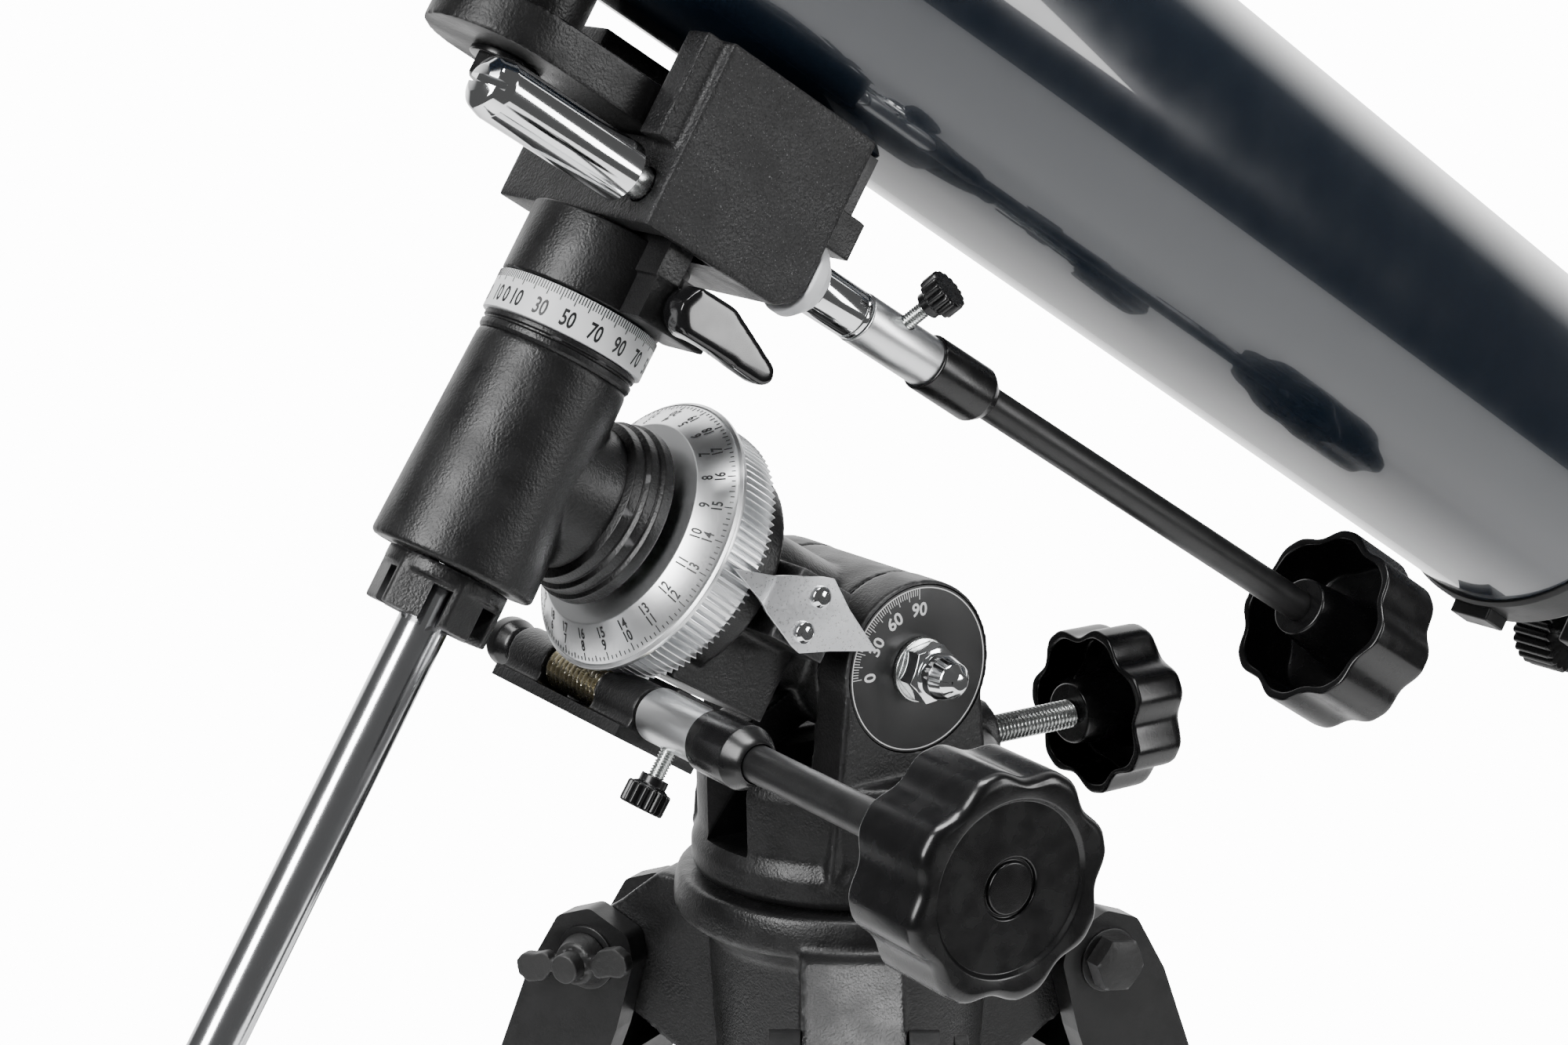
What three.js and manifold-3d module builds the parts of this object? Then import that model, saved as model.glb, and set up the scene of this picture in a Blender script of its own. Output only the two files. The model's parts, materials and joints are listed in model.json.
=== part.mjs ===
// Refractor telescope on a German equatorial mount and a folding three-leg stand.
// Millimetres, +Z up. The mount is laid out from the latitude pivot, then the model is set on the floor.
import * as THREE from "three";
import { mergeVertices } from "three/addons/utils/BufferGeometryUtils.js";
import Module from "manifold-3d";

const wasm = await Module();
wasm.setup();

// ---- driving dimensions -------------------------------------------------------------------------
const LATITUDE_DEG = 31.74;
const POLAR_DROP = 1.83;
const GAP = 0.3;
const PIVOT_HEIGHT = 700;

const DIAL_FACE_Y = -29.7;
const CHEEK_IN = 17.8;
const CHEEK_OUT = 29.9;
const BOSS_R = 21.8;
const BASE_X = 2;
const BASE_BOTTOM = -57.5;
const JACK_Z = -31;
const JACK_TIP_X = 4;
const JACK_R = 3.8;

const WHEEL_TEETH = 100;
const WHEEL_NEAR = 58.5;
const WHEEL_FAR = 70.2;
const WHEEL_TIP_R = 32.4;
const WHEEL_ROOT_R = 30.3;
const WORM_OFFSET = 36;
const WORM_S = 61.7;
const WORM_TILT_DEG = -2;
const WORM_CREST_R = 5.3;
const WORM_ROOT_R = 3.2;
const WHEEL_PITCH_R = 31.6;
const WORM_LEAD = (2 * Math.PI * WHEEL_PITCH_R) / WHEEL_TEETH;

const DEC_S = 114.5;
const DEC_SCREW_D = 67.4;
const DEC_SCREW_Y = -23.1;
const SPRING_D = 66;
const BAR_LOW = 78;
const BAR_HIGH = 88;

const TUBE_D = 148.6;
const TUBE_R = 46.2;
const TUBE_WALL = 1.5;
const TUBE_REAR = -203;
const TUBE_FRONT = 375;

const LEG_AZIMUTHS = { front: -125.7, right: -5.7, left: 114.3 };
const HINGE_R = 67;
const HINGE_Z = -90;
const SPLAY_DEG = 21;
const CHANNEL_TOP = -34;
const CHANNEL_BOTTOM = -420;
const SLIDER_TOP = -130;

// ---- materials ----------------------------------------------------------------------------------
const standard = (color, roughness, metalness) =>
  new THREE.MeshStandardMaterial({ color, roughness, metalness });
const BLACK_CAST = [0x1a1a1c, 0.55, 0.2];
const BLACK_PLASTIC = [0x151516, 0.4, 0];
const GLOSS_BLACK = [0x0c0c0d, 0.2, 0];
const CHROME = [0xdadde0, 0.08, 1];
const ALUMINIUM = [0xc9ccd0, 0.3, 1];
const ZINC = [0xc5c9c6, 0.28, 1];
const BRASS = [0xb9a86a, 0.35, 1];
const WHITE_NYLON = [0xe9eaec, 0.5, 0];
const WHITE_SCALE = [0xe6e7e9, 0.45, 0];
const NAVY_GLOSS = [0x0c1624, 0.12, 0];
const RUBBER = [0x161616, 0.85, 0];
const GLASS = [0x9fb4bd, 0.02, 0];

// ---- solids -------------------------------------------------------------------------------------
const rad = THREE.MathUtils.degToRad;

function tidy(geometry) {
  geometry.deleteAttribute("normal");
  geometry.deleteAttribute("uv");
  const merged = mergeVertices(geometry, 1e-4);
  const index = merged.index.array;
  const kept = [];
  for (let i = 0; i < index.length; i += 3) {
    const [a, b, c] = [index[i], index[i + 1], index[i + 2]];
    if (a !== b && b !== c && c !== a) kept.push(a, b, c);
  }
  const p = merged.attributes.position;
  const [u, v, w] = [new THREE.Vector3(), new THREE.Vector3(), new THREE.Vector3()];
  let volume = 0;
  for (let i = 0; i < kept.length; i += 3) {
    u.fromBufferAttribute(p, kept[i]);
    v.fromBufferAttribute(p, kept[i + 1]);
    w.fromBufferAttribute(p, kept[i + 2]);
    volume += u.dot(v.cross(w));
  }
  if (volume < 0) kept.reverse();
  merged.setIndex(kept);
  return merged;
}

function toManifold(geometry) {
  const vertProperties = new Float32Array(geometry.attributes.position.array);
  const triVerts = new Uint32Array(geometry.index.array);
  return new wasm.Manifold(new wasm.Mesh({ numProp: 3, vertProperties, triVerts }));
}

function toGeometry(manifold) {
  const mesh = manifold.getMesh();
  const geometry = new THREE.BufferGeometry();
  geometry.setAttribute("position", new THREE.BufferAttribute(new Float32Array(mesh.vertProperties), 3));
  geometry.setIndex(new THREE.BufferAttribute(new Uint32Array(mesh.triVerts), 1));
  return geometry;
}

const join = (first, ...others) =>
  toGeometry(others.reduce((sum, next) => sum.add(toManifold(next)), toManifold(first)));

const cut = (body, ...tools) =>
  toGeometry(tools.reduce((rest, tool) => rest.subtract(toManifold(tool)), toManifold(body)));

const overlap = (one, other) => toGeometry(toManifold(one).intersect(toManifold(other)));

// A solid of revolution. The profile holds [radius, station] pairs from end to end; axis is x, y or z.
function turned(profile, axis = "z", at = [0, 0, 0], segments = 20) {
  const points = profile.map(([r, z]) => new THREE.Vector2(r, z));
  if (profile[0][0] > 0) points.push(points[0].clone());
  const geometry = new THREE.LatheGeometry(points, segments);
  if (axis === "x") geometry.rotateZ(-Math.PI / 2);
  if (axis === "z") geometry.rotateX(Math.PI / 2);
  geometry.translate(...at);
  return tidy(geometry);
}

const rod = (r, from, to, axis = "z", at = [0, 0, 0], segments = 20) =>
  turned([[0, from], [r, from], [r, to], [0, to]], axis, at, segments);

const ring = (inner, outer, from, to, axis = "z", at = [0, 0, 0], segments = 20) =>
  turned([[inner, from], [outer, from], [outer, to], [inner, to]], axis, at, segments);

function block(x0, x1, y0, y1, z0, z1) {
  const geometry = new THREE.BoxGeometry(x1 - x0, y1 - y0, z1 - z0);
  geometry.translate((x0 + x1) / 2, (y0 + y1) / 2, (z0 + z1) / 2);
  return tidy(geometry);
}

// A flat outline given as [u, v] pairs, pushed along the axis between two stations.
// The outline's u, v are x, y for a z prism, x, z for a y prism and y, z for an x prism.
function prism(outline, from, to, axis = "z", steps = 1) {
  const corners = outline instanceof THREE.Shape ? [] : outline.map(([u, v]) => new THREE.Vector2(u, v));
  const shape = outline instanceof THREE.Shape ? outline : new THREE.Shape(corners);
  const geometry = new THREE.ExtrudeGeometry(shape, {
    depth: to - from, bevelEnabled: false, steps, curveSegments: 8,
  });
  geometry.translate(0, 0, from);
  if (axis === "y") {
    geometry.rotateX(Math.PI / 2);
    geometry.scale(1, -1, 1);
  }
  if (axis === "x") {
    geometry.rotateZ(Math.PI / 2);
    geometry.rotateY(Math.PI / 2);
  }
  return tidy(geometry);
}

function moved(geometry, matrix) {
  const copy = geometry.clone();
  copy.applyMatrix4(matrix);
  return copy;
}

const hexagon = (flats, turn = 0) =>
  Array.from({ length: 6 }, (_, i) => {
    const angle = rad(60 * i + turn);
    const r = flats / Math.sqrt(3);
    return [r * Math.cos(angle), r * Math.sin(angle)];
  });

// The rim of a scalloped hand knob: lobes on a circle with shallow hollows between them.
const lobed = (r, depth, lobes, points = 4, phase = 0) =>
  Array.from({ length: lobes * points }, (_, i) => {
    const angle = (2 * Math.PI * i) / (lobes * points) + phase;
    const wave = 0.5 + 0.5 * Math.cos(lobes * (angle - phase));
    const radius = r - depth * (1 - Math.sqrt(wave));
    return [radius * Math.cos(angle), radius * Math.sin(angle)];
  });

// A cup-shaped scalloped knob on +Z: its plate spans plate..face and its skirt reaches back to the rim.
function cupKnob(r, lobes, rim, plate, face, hub, hubFrom) {
  const hand = Math.sign(face - rim);
  const [low, high] = hand > 0 ? [rim, face] : [face, rim];
  const outer = prism(lobed(r, 3, lobes), low, high);
  const [from, to] = hand > 0 ? [rim - 1, plate] : [plate, rim + 1];
  const hollow = prism(lobed(r - 3.2, 2.6, lobes), from, to);
  const [hubLow, hubHigh] = hand > 0 ? [hubFrom, face - 1] : [face + 1, hubFrom];
  return join(cut(outer, hollow), rod(hub, hubLow, hubHigh, "z", [0, 0, 0], 20));
}

// ---- scene graph --------------------------------------------------------------------------------
const model = new THREE.Group();
const mount = new THREE.Group();
const polar = new THREE.Group();
model.add(mount);
mount.add(polar);

const phi = rad(LATITUDE_DEG);
const poleAxis = new THREE.Vector3(-Math.cos(phi), 0, Math.sin(phi));
const decAxis = new THREE.Vector3(Math.sin(phi), 0, Math.cos(phi));
polar.quaternion.setFromRotationMatrix(
  new THREE.Matrix4().makeBasis(poleAxis, decAxis, new THREE.Vector3(0, 1, 0)),
);
polar.position.set(0, 0, -POLAR_DROP);

function add(parent, name, finish, geometry) {
  const mesh = new THREE.Mesh(geometry, standard(...finish));
  mesh.name = name;
  parent.add(mesh);
  return mesh;
}

// ---- stand: head and three legs -----------------------------------------------------------------
function addHead() {
  const wall = turned(
    [
      [0, -122], [30, -122], [33, -118], [36, -74], [41, -70], [44.6, -68],
      [44.6, -62.5], [43.6, -58.2], [0, -58.2],
    ],
    "z", [0, 0, 0], 32,
  );
  const lugs = Object.values(LEG_AZIMUTHS).map((azimuth) => {
    const outline = [
      [20, -66], [50, -66], [62, -76], [74, -84], [77, -90], [74, -97], [66, -101], [40, -116], [20, -116],
    ];
    const web = prism(outline, -12.6, 12.6, "y");
    const hole = rod(4.3, -20, 20, "y", [HINGE_R, 0, HINGE_Z], 16);
    return moved(cut(web, hole), new THREE.Matrix4().makeRotationZ(rad(azimuth)));
  });
  add(mount, "stand_head", BLACK_CAST, join(wall, ...lugs)).position.x = BASE_X;
}

function addLeg(key, azimuth) {
  const turn = new THREE.Group();
  turn.position.x = BASE_X;
  turn.rotation.z = rad(azimuth);
  const leg = new THREE.Group();
  leg.position.set(HINGE_R, 0, HINGE_Z);
  leg.rotation.y = -rad(SPLAY_DEG);
  turn.add(leg);
  mount.add(turn);

  const cheek = [[-13, 6], [-9, 12], [4, 13], [12, 6], [15, -12], [15, -62], [-15, -62], [-15, -14]];
  const pin = rod(4.3, -30, 30, "y", [0, 0, 0], 16);
  const bridge = block(-15, 15, -20, 20, -62, -27);
  const shell = join(prism(cheek, -20, -12.9, "y"), prism(cheek, 12.9, 20, "y"), bridge);
  add(leg, `leg_bracket_${key}`, BLACK_PLASTIC, cut(shell, pin, block(-11, 11, -17, 17, -70, CHANNEL_TOP)));

  const web = join(
    block(-10.6, 10.6, -16.6, 16.6, CHANNEL_BOTTOM, CHANNEL_TOP - GAP),
    block(-15.5, 17, -22, 22, CHANNEL_BOTTOM, CHANNEL_BOTTOM + 42),
  );
  const bore = block(-8.4, 8.4, -14.4, 14.4, CHANNEL_BOTTOM - 5, CHANNEL_TOP + 5);
  const slot = block(-20, 0, -9, 9, CHANNEL_BOTTOM + 60, CHANNEL_TOP - 40);
  const screwHole = rod(3.4, 5, 30, "x", [0, 0, CHANNEL_BOTTOM + 20], 16);
  add(leg, `leg_channel_${key}`, ALUMINIUM, cut(web, bore, slot, screwHole));

  const floor = -(PIVOT_HEIGHT + HINGE_Z);
  const toLeg = new THREE.Matrix4().makeRotationY(rad(SPLAY_DEG));
  const under = moved(block(-400, 400, -60, 60, floor - 80, floor), toLeg);
  const tip = floor / Math.cos(rad(SPLAY_DEG));
  const footTop = tip + 42;
  add(leg, `leg_slider_${key}`, ALUMINIUM, cut(
    block(-7.9, 7.9, -13.9, 13.9, footTop - 18, SLIDER_TOP),
    block(-5.9, 5.9, -11.9, 11.9, footTop - 30, SLIDER_TOP + 5),
  ));
  const sole = turned([[0, tip - 20], [15, tip - 20], [14.5, tip + 12], [12, tip + 20], [0, tip + 20]]);
  const socket = cut(
    join(sole, block(-11, 11, -17, 17, tip + 8, footTop)),
    block(-8.2, 8.2, -14.2, 14.2, footTop - 18.4, footTop + 5),
    under,
  );
  add(leg, `leg_foot_${key}`, RUBBER, socket);

  const clampZ = CHANNEL_BOTTOM + 20;
  const grip = moved(
    prism(lobed(13, 2.2, 6, 6), 19, 29),
    new THREE.Matrix4().makeRotationY(Math.PI / 2).setPosition(0, 0, clampZ),
  );
  add(leg, `leg_clamp_${key}`, BLACK_PLASTIC, join(grip, rod(3, 8.7, 24, "x", [0, 0, clampZ], 16)));

  const head = prism(hexagon(13), -26, -20.3, "y");
  const wings = join(
    rod(6, 20.3, 25, "y", [0, 0, 0], 16),
    prism([[-15, 7], [-12, 10], [12, -4], [15, -8], [12, -10], [-12, 3]], 24, 28, "y"),
  );
  add(leg, `leg_bolt_${key}`, ZINC, join(rod(3.9, -22, 31, "y", [0, 0, 0], 16), head, wings));
}

// ---- azimuth fork, latitude scale, pivot bolt and jack bolt -------------------------------------
function addFork() {
  const flange = turned(
    [
      [0, BASE_BOTTOM], [39, BASE_BOTTOM], [40.2, -55], [40.2, -50], [38.5, -46],
      [39, -31], [37.5, -27], [0, -27],
    ],
    "z", [BASE_X, 0, 0], 32,
  );
  const outline = new THREE.Shape();
  outline.moveTo(-26.5, -50);
  outline.lineTo(-23.4, -22);
  outline.lineTo(-21.6, -3);
  outline.absarc(0, 0, BOSS_R, Math.PI + 0.14, -0.42, true);
  outline.lineTo(24, -50);
  const cheeks = join(
    prism(outline, -CHEEK_OUT, -CHEEK_IN, "y"),
    prism(outline, CHEEK_IN, CHEEK_OUT, "y"),
    flange,
    rod(10, 20, 43, "x", [0, 0, JACK_Z], 24),
  );
  const seat = rod(21, -CHEEK_OUT - 1, -28.4, "y");
  const bore = rod(5.3, -40, 40, "y", [0, 0, 0], 24);
  const slot = block(-60, 15, -8.5, 8.5, -47, 0);
  const knuckleRoom = rod(23.5, -CHEEK_IN, CHEEK_IN, "y", [0, 0, 0], 24);
  const thread = rod(JACK_R + GAP, 0, 60, "x", [0, 0, JACK_Z], 24);
  add(mount, "azimuth_fork", BLACK_CAST, cut(cheeks, seat, bore, slot, knuckleRoom, thread));

  add(mount, "latitude_dial", BLACK_PLASTIC, ring(5.5, 20.7, DIAL_FACE_Y, -28.7, "y", [0, 0, 0], 32));

  const nut = prism(hexagon(13, 20), -36.5, -31.4, "y");
  const dome = turned(
    [[0, -46], [2.6, -45.2], [4.6, -43.2], [5.6, -40.4], [5.6, -36], [0, -36]], "y", [0, 0, 0], 20,
  );
  const boltHead = prism(hexagon(13), 30.2, 35.5, "y");
  add(mount, "altitude_bolt", CHROME, join(
    rod(4.9, -40, 33, "y", [0, 0, 0], 20), rod(8, -31.5, -30, "y", [0, 0, 0], 24), nut, dome, boltHead,
  ));
}

function addJackBolt() {
  const screw = turned(
    [[0, 0], [1.8, 0], [JACK_R, 3], [JACK_R, 78], [0, 78]], "x", [JACK_TIP_X, 0, JACK_Z], 24,
  );
  const knob = moved(
    cupKnob(22.5, 7, 80, 93, 97, 8, 74),
    new THREE.Matrix4().makeRotationY(Math.PI / 2).setPosition(0, 0, JACK_Z),
  );
  add(mount, "jack_bolt", ZINC, join(screw, knob));
}

// ---- polar housing, pointer, worm drive ---------------------------------------------------------
const wormFrame = new THREE.Group();
wormFrame.rotation.x = rad(WORM_TILT_DEG);
polar.add(wormFrame);

function addPolarHousing() {
  const pivot = [POLAR_DROP * Math.sin(phi), POLAR_DROP * Math.cos(phi), 0];
  const barrel = turned(
    [[0, 0], [16.8, 0], [16.8, 44], [20, 48], [27, 50], [27, 57.9], [0, 57.9]], "x", [0, 0, 0], 28,
  );
  const knuckle = rod(21.6, -17.4, 17.4, "z", pivot, 24);
  const underBox = block(26, 56, -27, 0, -15, 15);
  const pad = block(30, 47, -9, 9, -30.8, -10);
  const lugTurn = new THREE.Matrix4().makeRotationZ(phi - Math.PI / 2).setPosition(...pivot);
  const lug = moved(block(17, 38, -7, 3, -7, 7), lugTurn);
  const body = join(barrel, knuckle, underBox, pad, lug);
  add(polar, "polar_housing", BLACK_CAST, cut(
    body,
    rod(5.3, -40, 40, "z", pivot, 24),
    rod(9.9, 12, 60, "x", [0, 0, 0], 32),
  ));

  const kite = [
    [17, 0], [30, 5.5], [38, 10], [41, 9.2], [55, 3.6], [69, 0],
    [55, -3.6], [41, -8.8], [38, -9.4], [30, -5.5],
  ];
  const bend = [
    [16, -31.1], [52, -31.1], [58, -33.3], [70, -35.2],
    [70, -36], [57.7, -34.1], [51.8, -31.9], [16, -31.9],
  ];
  add(polar, "pointer", ALUMINIUM, overlap(prism(kite, -40, -28), prism(bend, -12, 12, "y")));
}

function addWormDrive() {
  const at = [WORM_S, -WORM_OFFSET, 0];
  const bore = rod(4.3, -40, 50, "z", at, 24);
  const bearings = join(
    rod(6.2, 17.3, 33.2, "z", at, 24),
    rod(6.2, -24.2, -6.7, "z", at, 24),
    block(56.6, 66.8, -42.5, -38, 17.3, 33.2),
    block(56.6, 66.8, -42.5, -38, -24.2, -6.7),
    block(44, 69, -45, -42, -24.2, 33.2),
    block(44, 55.4, -45, -28.2, -20, 20),
  );
  const clearance = rod(WHEEL_TIP_R + 0.6, 57, 80, "x", [0, 0, 0], 32);
  add(wormFrame, "worm_carriage", BLACK_CAST, cut(bearings, bore, clearance));

  // The thread is a cam-shaped section pushed along the axis while it turns once per lead.
  const crest = 0.35 / WORM_LEAD;
  const root = 1 - 0.95 / WORM_LEAD;
  const section = [
    [-crest / 2, WORM_CREST_R], [crest / 2, WORM_CREST_R],
    [0.5 - root / 2, WORM_ROOT_R], [0.5, WORM_ROOT_R], [0.5 + root / 2, WORM_ROOT_R],
  ].map(([share, r]) => [r * Math.cos(2 * Math.PI * share), r * Math.sin(2 * Math.PI * share)]);
  const [threadFrom, threadTo] = [-6.4, 17];
  const steps = Math.round(((threadTo - threadFrom) / WORM_LEAD) * 8);
  const thread = prism(section, threadFrom, threadTo, "z", steps);
  const p = thread.attributes.position;
  for (let i = 0; i < p.count; i += 1) {
    const turn = (2 * Math.PI * (p.getZ(i) - WORM_LEAD / 2)) / WORM_LEAD + Math.PI / 2;
    const [x, y] = [p.getX(i), p.getY(i)];
    p.setXY(i, x * Math.cos(turn) - y * Math.sin(turn), x * Math.sin(turn) + y * Math.cos(turn));
  }
  thread.translate(...at);
  const shaft = join(
    thread, rod(4, -39, -6, "z", at, 16), rod(4, 16.8, 33.6, "z", at, 16),
    rod(2.4, 33, 42, "z", at, 12),
    turned(
      [[0, 35.2], [2.6, 35.2], [5, 37.2], [6.4, 41], [6.2, 43.6], [4.4, 46.6], [0, 48]], "z", at, 16,
    ),
  );
  add(wormFrame, "worm", BRASS, shaft);

  const handle = join(
    turned(
      [
        [0, -153], [4.3, -153], [4.3, -68.5], [7.4, -62.5], [7.4, -48.1], [6.5, -48.1],
        [6.5, -25.8], [0, -25.8],
      ],
      "z", at, 20,
    ),
    moved(cupKnob(25, 8, -135, -151, -157, 8, -128), new THREE.Matrix4().setPosition(...at)),
  );
  const stub = rod(4.3, -40.5, -20, "z", at, 20);
  const tapped = rod(2.3, -12, 0, "y", [WORM_S, -WORM_OFFSET, -35.5], 12);
  add(wormFrame, "ra_control", BLACK_PLASTIC, cut(handle, stub, tapped));
  addThumbScrew(wormFrame, "ra_control_screw", [WORM_S, -WORM_OFFSET, -35.5], [0, -1, 0], 5, 13, 21);
}

// A knurled thumb screw: thread from the inner end out to the head, along the given direction.
function addThumbScrew(parent, name, at, direction, inner, headFrom, headTo) {
  const knurl = lobed(5.4, 0.7, 12, 4);
  const mesh = add(parent, name, BLACK_PLASTIC, join(
    rod(2, inner, headFrom + 1, "z", [0, 0, 0], 12), prism(knurl, headFrom, headTo),
  ));
  mesh.position.set(...at);
  const aim = new THREE.Vector3(...direction).normalize();
  mesh.quaternion.setFromUnitVectors(new THREE.Vector3(0, 0, 1), aim);
}

function addWheel() {
  const outline = [];
  const pitch = (2 * Math.PI) / WHEEL_TEETH;
  const half = (width, r) => width / 2 / r;
  for (let i = 0; i < WHEEL_TEETH; i += 1) {
    const angle = i * pitch - Math.PI / 2;
    const [root, tip] = [half(1, WHEEL_ROOT_R), half(0.36, WHEEL_TIP_R)];
    for (const [r, a] of [
      [WHEEL_ROOT_R, angle - root], [WHEEL_TIP_R, angle - tip],
      [WHEEL_TIP_R, angle + tip], [WHEEL_ROOT_R, angle + root],
    ]) {
      outline.push([r * Math.cos(a), r * Math.sin(a)]);
    }
  }
  const width = WHEEL_FAR - WHEEL_NEAR;
  const teeth = prism(outline, -width / 2, width / 2);
  const lean = WORM_LEAD / (2 * Math.PI * (WORM_OFFSET - WHEEL_PITCH_R)) / WHEEL_PITCH_R;
  const p = teeth.attributes.position;
  for (let i = 0; i < p.count; i += 1) {
    const turn = lean * (p.getZ(i) - (WORM_S - (WHEEL_NEAR + WHEEL_FAR) / 2));
    const [x, y] = [p.getX(i), p.getY(i)];
    p.setXY(i, x * Math.cos(turn) - y * Math.sin(turn), x * Math.sin(turn) + y * Math.cos(turn));
  }
  const wheel = cut(teeth, rod(15.4, -20, 20, "z", [0, 0, 0], 24));
  const toPole = new THREE.Matrix4().makeBasis(
    new THREE.Vector3(0, 0, 1), new THREE.Vector3(0, 1, 0), new THREE.Vector3(-1, 0, 0),
  ).transpose();
  toPole.setPosition((WHEEL_NEAR + WHEEL_FAR) / 2, 0, 0);
  const mesh = add(wormFrame, "worm_wheel", ALUMINIUM, wheel);
  mesh.applyMatrix4(toPole);

  const cone = turned(
    [[15.4, 70.5], [34.3, 70.5], [34.3, 71.5], [25.7, 78.2], [15.4, 78.2]], "x", [0, 0, 0], 64,
  );
  add(polar, "ra_dial", ALUMINIUM, cone);
}

// ---- declination housing, counterweight, declination head ---------------------------------------
function addDecHousing() {
  const at = [DEC_S, 0, 0];
  const barrel = turned(
    [
      [0, -28], [19.4, -28], [20.1, -27.2], [18.7, 24], [18.2, 25.5], [18.2, 29],
      [13, 29], [13, 39], [0, 39],
    ],
    "y", at, 28,
  );
  const neck = turned(
    [
      [0, 82], [22.4, 82], [22.4, 85], [21.2, 85.6], [21.2, 88.4], [20, 89], [20, 91.8],
      [18.6, 92.4], [17.6, 98], [17.6, DEC_S], [0, DEC_S],
    ],
    "x", [0, 0, 0], 28,
  );
  const spindleProfile = [[0, 14], [9.5, 14], [9.5, 58.2], [15, 58.2], [15, 83], [0, 83]];
  const spindle = turned(spindleProfile, "x", [0, 0, 0], 32);
  add(polar, "dec_housing", BLACK_CAST, cut(
    join(barrel, neck, spindle), rod(6.3, -30, -8, "y", at, 24), rod(9.4, -2, 40, "y", at, 32),
  ));

  const crown = prism(hexagon(26.5, 15), -41.5, -28.4, "z");
  const notches = [0, 60, 120].map((angle) => moved(
    block(-20, 20, -2.2, 2.2, -50, -33), new THREE.Matrix4().makeRotationZ(rad(angle)),
  ));
  const collar = rod(14.6, -32, -28.4, "z");
  const nut = moved(
    cut(join(crown, collar), ...notches, rod(6.3, -60, 0, "z", [0, 0, 0], 24)),
    new THREE.Matrix4().makeRotationX(-Math.PI / 2),
  );
  add(polar, "castle_nut", BLACK_CAST, nut).position.x = DEC_S;

  add(polar, "counterweight_shaft", CHROME, join(
    rod(6, -270, -10, "y", at, 24),
    turned([[0, -276], [11, -276], [12, -275], [12, -271], [0, -271]], "y", at, 24),
    rod(5, -272, -268, "y", at, 16),
  ));
  const weight = turned(
    [[6.3, -246], [36, -246], [41, -241], [41, -203], [36, -198], [6.3, -198]], "y", at, 28,
  );
  const screwHole = rod(4.3, 0, 60, "x", [DEC_S, -222, 0], 16);
  add(polar, "counterweight", BLACK_CAST, cut(weight, screwHole));
  addWeightScrew();
}

function addWeightScrew() {
  const knob = join(rod(4, 6.8, 50, "z", [0, 0, 0], 16), prism(lobed(11, 2, 6, 6), 45, 56));
  const mesh = add(polar, "counterweight_screw", BLACK_PLASTIC, knob);
  mesh.position.set(DEC_S, -222, 0);
  mesh.rotation.y = Math.PI / 2;
}

function addDecClamp() {
  const at = [DEC_S, 0, 0];
  add(polar, "dec_dial", WHITE_SCALE, ring(13.3, 19.9, 29.3, 38.7, "y", at, 32));
  const band = ring(9.4, 19.8, 39.3, 56.7, "y", at, 24);
  const lug = block(97, 117, 39.3, 52, -27.5, -12);
  const arm = block(111, 118, 49.5, 71.5, -28, -12);
  const bore = rod(3.4, -40, -14, "z", [107, 45.5, 0], 16);
  const core = rod(9.4, 30, 60, "y", at, 32);
  add(polar, "dec_clamp_ring", BLACK_CAST, cut(join(band, lug, arm), bore, core));

  const wing = new THREE.Shape();
  wing.moveTo(112, 51);
  wing.lineTo(101, 51);
  wing.lineTo(84, 44);
  wing.lineTo(83, 40.5);
  wing.lineTo(86, 38.5);
  wing.lineTo(102, 39.5);
  wing.lineTo(112, 39.5);
  wing.lineTo(115, 45);
  const lever = join(
    prism(wing, -38, -30.5),
    rod(6, -34, -28, "z", [107, 45.5, 0], 20),
    rod(3, -30, -20.4, "z", [107, 45.5, 0], 16),
  );
  add(polar, "dec_lock_lever", GLOSS_BLACK, lever);
}

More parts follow.
